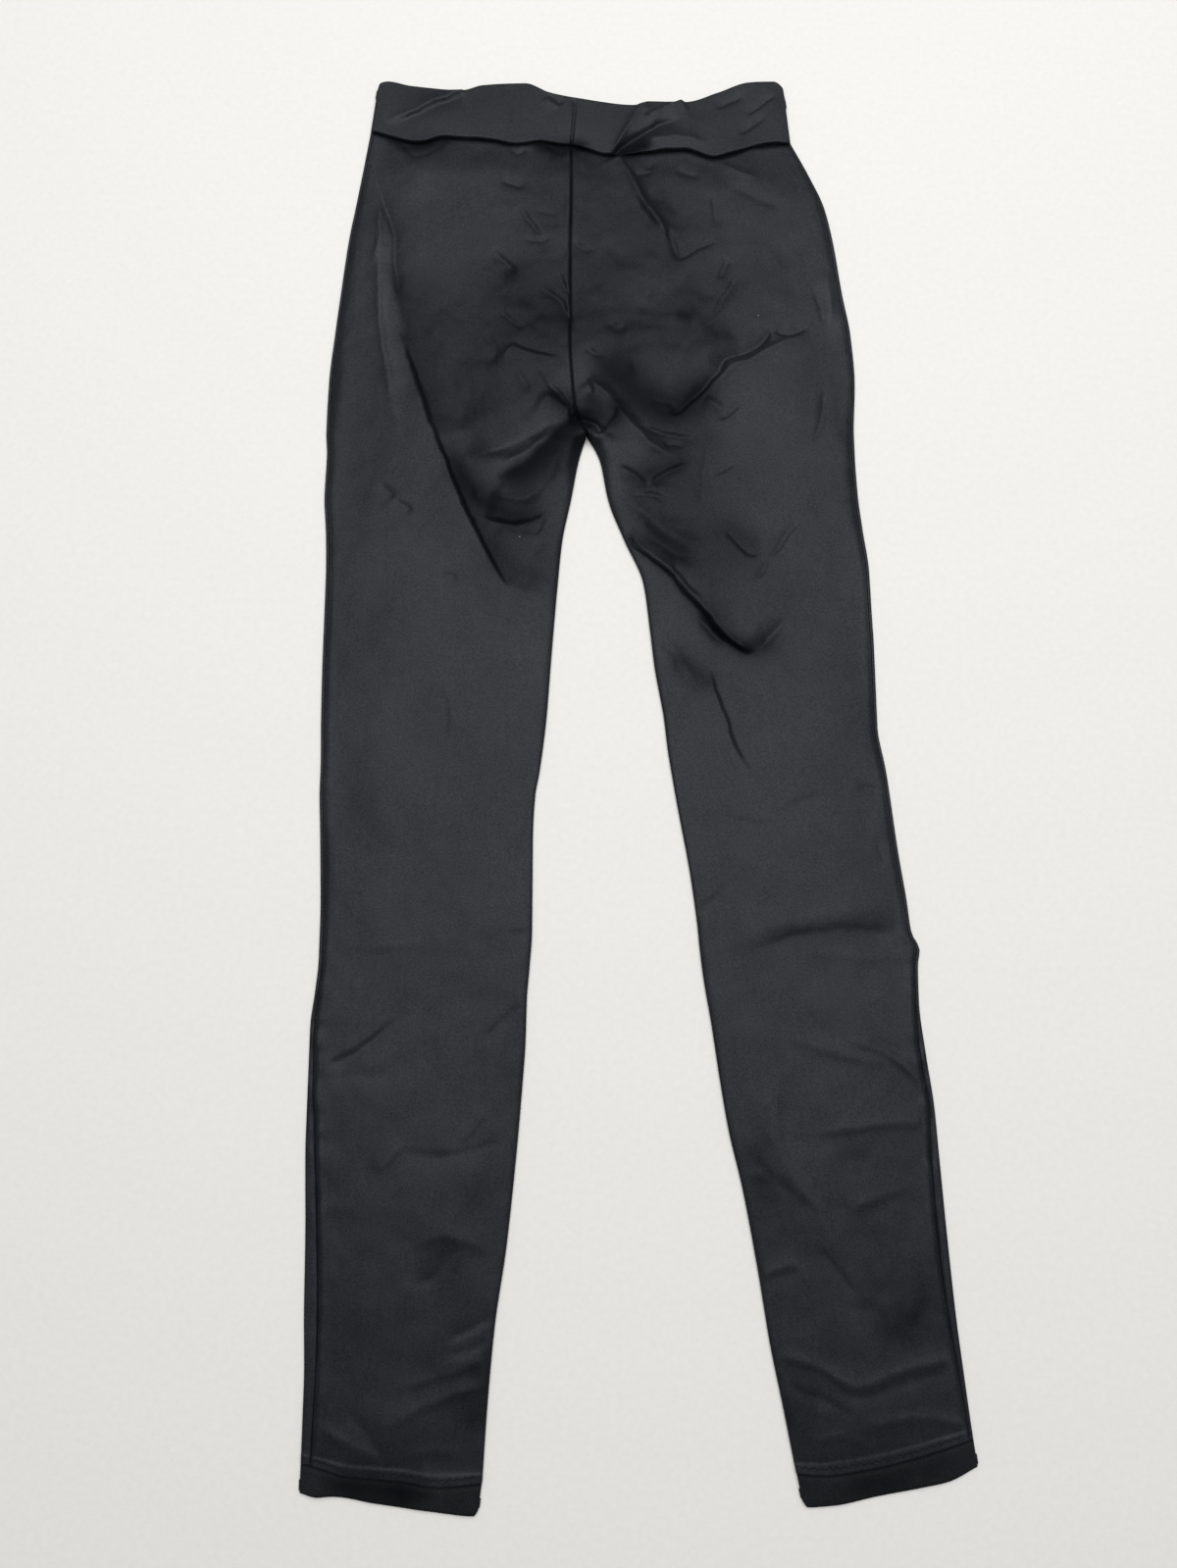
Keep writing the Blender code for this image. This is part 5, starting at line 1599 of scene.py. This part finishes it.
@dataclass(frozen=True)
class KnitFinish:
    """How one cloth looks."""

    name: str
    dark: Colour
    light: Colour
    roughness: float
    sheen: float
    mottle: float
    grain: float
    lint: float
    relief: float
    specular: float = 0.03
    specular_tint: Colour = (0.87, 0.92, 1.0)
    sheen_roughness: float = 0.45
    sheen_tint: Colour = (0.93, 0.97, 1.0)
    lint_colour: Colour = (0.5, 0.51, 0.53)
    spread: float = 0.1  # of the roughness on either hand
    relief_depth: float = 0.001  # metres

    def build(self, group: bpy.types.NodeTree) -> bpy.types.Material:
        """Makes the material.

        Args:
            group: The knit's node group.

        Returns:
            The material.
        """
        cloth = bpy.data.materials.new(self.name)
        cloth.use_nodes = True
        build = NodeBuilder(cloth.node_tree)
        shader = cloth.node_tree.nodes["Principled BSDF"]
        for name, value in (
            ("Metallic", 0.0),
            ("Specular IOR Level", self.specular),
            ("Coat Roughness", self.roughness),
            ("Specular Tint", (*self.specular_tint, 1.0)),
            ("Sheen Weight", self.sheen),
            ("Sheen Roughness", self.sheen_roughness),
            ("Sheen Tint", (*self.sheen_tint, 1.0)),
        ):
            shader.inputs[name].default_value = value
        knit = build.add("ShaderNodeGroup")
        knit.node_tree = group
        build.join(build.add("ShaderNodeTexCoord").outputs["Object"], knit.inputs["Place"])
        build.join(build.add("ShaderNodeUVMap", uv_map="knit").outputs["UV"], knit.inputs["Cloth Place"])
        # The painted shade and highlight, read from the mesh, dim or lift the tone and the coat.
        painted_shading = build.add("ShaderNodeAttribute", attribute_name="gloss_and_painted_shade")
        build.join(painted_shading.outputs["Fac"], knit.inputs["Painted Shading"])
        for name, value in (("Mottle", self.mottle), ("Grain", self.grain), ("Lint", self.lint)):
            knit.inputs[name].default_value = value
        tone = build.ramp(knit.outputs["Tone And Painted Shade"], (0.2, self.dark), (0.8, self.light))
        dusted = build.add("ShaderNodeMix", data_type="RGBA")
        build.join(knit.outputs["Lint Mask"], dusted.inputs["Factor"])
        build.join(tone, dusted.inputs["A"])
        dusted.inputs["B"].default_value = (*self.lint_colour, 1.0)
        spread = build.add("ShaderNodeMapRange")
        spread.inputs["To Min"].default_value = self.roughness - self.spread
        spread.inputs["To Max"].default_value = self.roughness + self.spread
        build.join(knit.outputs["Roughness"], spread.inputs["Value"])
        build.join(dusted.outputs["Result"], shader.inputs["Base Color"])
        build.join(spread.outputs["Result"], shader.inputs["Roughness"])
        build.join(knit.outputs["Gloss And Painted Shade"], shader.inputs["Coat Weight"])
        relief = build.relief(knit.outputs["Height"], self.relief, self.relief_depth)
        build.join(relief, shader.inputs["Normal"])
        return cloth


CHARCOAL: tuple[Colour, Colour] = ((0.002, 0.0024, 0.0032), (0.012, 0.0134, 0.0162))
DARK_CHARCOAL: tuple[Colour, Colour] = ((0.0015, 0.0018, 0.0024), (0.008, 0.0088, 0.0105))
THREAD: tuple[Colour, Colour] = ((0.010, 0.011, 0.012), (0.02, 0.021, 0.024))
FINISHES: dict[str, KnitFinish] = {
    # roughness, sheen, mottle, grain, lint, relief
    "body_cloth": KnitFinish("charcoal_knit", *CHARCOAL, 0.46, 0.02, 0.9, 0.9, 0.5, 0.8),
    "under_cloth": KnitFinish("charcoal_knit_back", *CHARCOAL, 0.47, 0.02, 0.9, 0.9, 0.4, 0.8),
    "waistband_cloth": KnitFinish("charcoal_knit_band", *CHARCOAL, 0.46, 0.02, 0.8, 0.8, 0.3, 0.7),
    "hem_cloth": KnitFinish("charcoal_knit_hem", *DARK_CHARCOAL, 0.5, 0.02, 0.9, 0.9, 0.3, 0.8),
    "thread": KnitFinish("charcoal_thread", *THREAD, 0.4, 0.0, 0.3, 0.3, 0.0, 0.2),
}


# ---- Garment


class Leggings:
    """The whole garment: four leg panels, two hems with their stitches, and the waistband."""

    def __init__(self) -> None:
        """Takes the cut of both legs and makes the materials."""
        self.legs = (
            LegCut(
                Side.RIGHT, RIGHT_HIP, RIGHT_LEG, RIGHT_TUCK, RIGHT_HEM, RIGHT_CREASES, LEFT_CREASES,
                front_area=0.112, back_area=0.116, stitch_ends=(7.0, 2.5), seam_seed=5, hem_seed=21,
            ),
            LegCut(
                Side.LEFT, LEFT_HIP, LEFT_LEG, LEFT_TUCK, LEFT_HEM, LEFT_CREASES, RIGHT_CREASES,
                front_area=0.115, back_area=0.1175, stitch_ends=(3.0, 7.0), seam_seed=9, hem_seed=22,
            ),
        )
        group = KnitPattern().build()
        self.materials = {slot: finish.build(group) for slot, finish in FINISHES.items()}

    def build(self) -> None:
        """Makes every piece."""
        for cut in self.legs:
            self._leg(cut)
        band = Waistband()
        points, places = band.points()
        fronts = ("front_leg_right_cloth", "front_leg_left_cloth")
        self._sheet(
            ClothSheet(
                "waistband", "waistband_cloth", points, places, Facing.UP, (0.575, 0.049), 0.0265, fronts,
                thickness=band.cloth,
            )
        )

    def _sheet(self, sheet: ClothSheet) -> None:
        """Builds one sheet.

        Args:
            sheet: The sheet.
        """
        sheet.build(self.materials[sheet.slot])

    def _leg(self, cut: LegCut) -> None:
        """Makes one leg's panels, hem and stitches.

        Args:
            cut: What the leg is made from.
        """
        side = cut.side.value
        front, back, hem = LegPanels(cut).front(), LegPanels(cut, spread=2.0).back(), AnkleHem(cut).points()
        row = StitchRow(cut).build(front[0], self.materials["thread"])
        back_name, front_name = f"back_leg_{side}", f"front_leg_{side}"
        back_flat, front_flat, hem_flat = (0.205, 0.86), (0.195, 0.85), (0.206, 0.024)
        self._sheet(
            ClothSheet(back_name, "under_cloth", *back, Facing.DOWN, back_flat, cut.back_area, ("floor",))
        )
        self._sheet(
            ClothSheet(
                front_name, "body_cloth", *front, Facing.UP, front_flat, cut.front_area,
                (f"{back_name}_cloth",), kept=0.66, extras=[row],
            )
        )
        self._sheet(
            ClothSheet(f"hem_{side}", "hem_cloth", *hem, Facing.UP, hem_flat, 0.0047, ("floor",), welded=True)
        )


# ---- Studio


@dataclass(frozen=True)
class SoftLight:
    """A large soft light, in metres and watts."""

    name: str
    place: Triple
    aim: Triple
    size: Pair
    power: float
    colour: Colour

    def build(self) -> None:
        """Puts the light in the scene."""
        lamp = bpy.data.lights.new(self.name, "AREA")
        lamp.shape = "RECTANGLE"
        lamp.size, lamp.size_y = self.size
        lamp.energy = self.power
        lamp.color = self.colour
        light = bpy.data.objects.new(self.name, lamp)
        light.location = self.place
        light.rotation_euler = (Vector(self.aim) - Vector(self.place)).to_track_quat("-Z", "Y").to_euler()
        bpy.context.scene.collection.objects.link(light)


@dataclass(frozen=True)
class Studio:
    """The pale floor, the soft light and the camera, in metres."""

    floor_colour: Colour = (0.845, 0.795, 0.735)
    floor_size: float = 6.0
    floor_gap: float = 0.0002  # how far under the garment the floor lies
    floor_shade: float = 0.965  # its darker specks, as a share of its colour
    sky: float = 0.25
    sky_colour: Colour = (0.93, 0.965, 1.0)
    camera_place: Triple = (-0.02327, -0.16499, 0.715)
    camera_tilt: float = 10.0  # degrees
    camera_lens: float = 27.044  # mm
    light: SoftLight = SoftLight(
        "ceiling", (0.1, 0.78, 1.9), (0.1, 0.73, 0.0), (2.6, 2.7), 59.0, (0.91, 0.955, 1.0)
    )

    def build(self) -> None:
        """Makes the studio round the garment."""
        self._floor()
        self.light.build()
        world = bpy.data.worlds.new("studio")
        world.use_nodes = True
        background = world.node_tree.nodes["Background"]
        background.inputs["Color"].default_value = (*self.sky_colour, 1.0)
        background.inputs["Strength"].default_value = self.sky
        bpy.context.scene.world = world
        bpy.context.scene.view_settings.view_transform = "Standard"
        self._camera()

    def _floor(self) -> None:
        """A pale, finely textured floor."""
        made = bmesh.new()
        under = Matrix.Translation((0.0, 0.0, -self.floor_gap))
        bmesh.ops.create_grid(made, x_segments=1, y_segments=1, size=self.floor_size / 2, matrix=under)
        mesh = bpy.data.meshes.new("floor")
        made.to_mesh(mesh)
        made.free()
        floor = bpy.data.objects.new("floor", mesh)
        bpy.context.scene.collection.objects.link(floor)
        surface = bpy.data.materials.new("pale_floor")
        surface.use_nodes = True
        build = NodeBuilder(surface.node_tree)
        shader = surface.node_tree.nodes["Principled BSDF"]
        shader.inputs["Specular IOR Level"].default_value = 0.2
        shader.inputs["Roughness"].default_value = 0.75
        where = build.add("ShaderNodeTexCoord").outputs["Object"]
        shaded = tuple(self.floor_shade * c for c in self.floor_colour)
        colour = build.ramp(build.noise(where, 260.0, 4.0), (0.3, shaded), (0.7, self.floor_colour))
        build.join(colour, shader.inputs["Base Color"])
        build.join(build.relief(build.noise(where, 700.0, 3.0), 0.15, 0.0005), shader.inputs["Normal"])
        mesh.materials.append(surface)

    def _camera(self) -> None:
        """The camera, nearly overhead and a little towards the hems."""
        lens = bpy.data.cameras.new("camera")
        lens.sensor_fit = "AUTO"
        lens.sensor_width = 36.0
        lens.lens = self.camera_lens
        lens.clip_start, lens.clip_end = 0.01, 20.0
        camera = bpy.data.objects.new("camera", lens)
        camera.location = self.camera_place
        camera.rotation_euler = Euler((math.radians(self.camera_tilt), 0.0, 0.0))
        bpy.context.scene.collection.objects.link(camera)
        bpy.context.scene.camera = camera


def main() -> None:
    """Builds the studio and the garment."""
    logging.basicConfig(level=logging.INFO, format="%(name)s: %(message)s")
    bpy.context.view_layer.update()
    Studio().build()
    Leggings().build()
    bpy.context.view_layer.update()


if __name__ == "__main__":
    main()
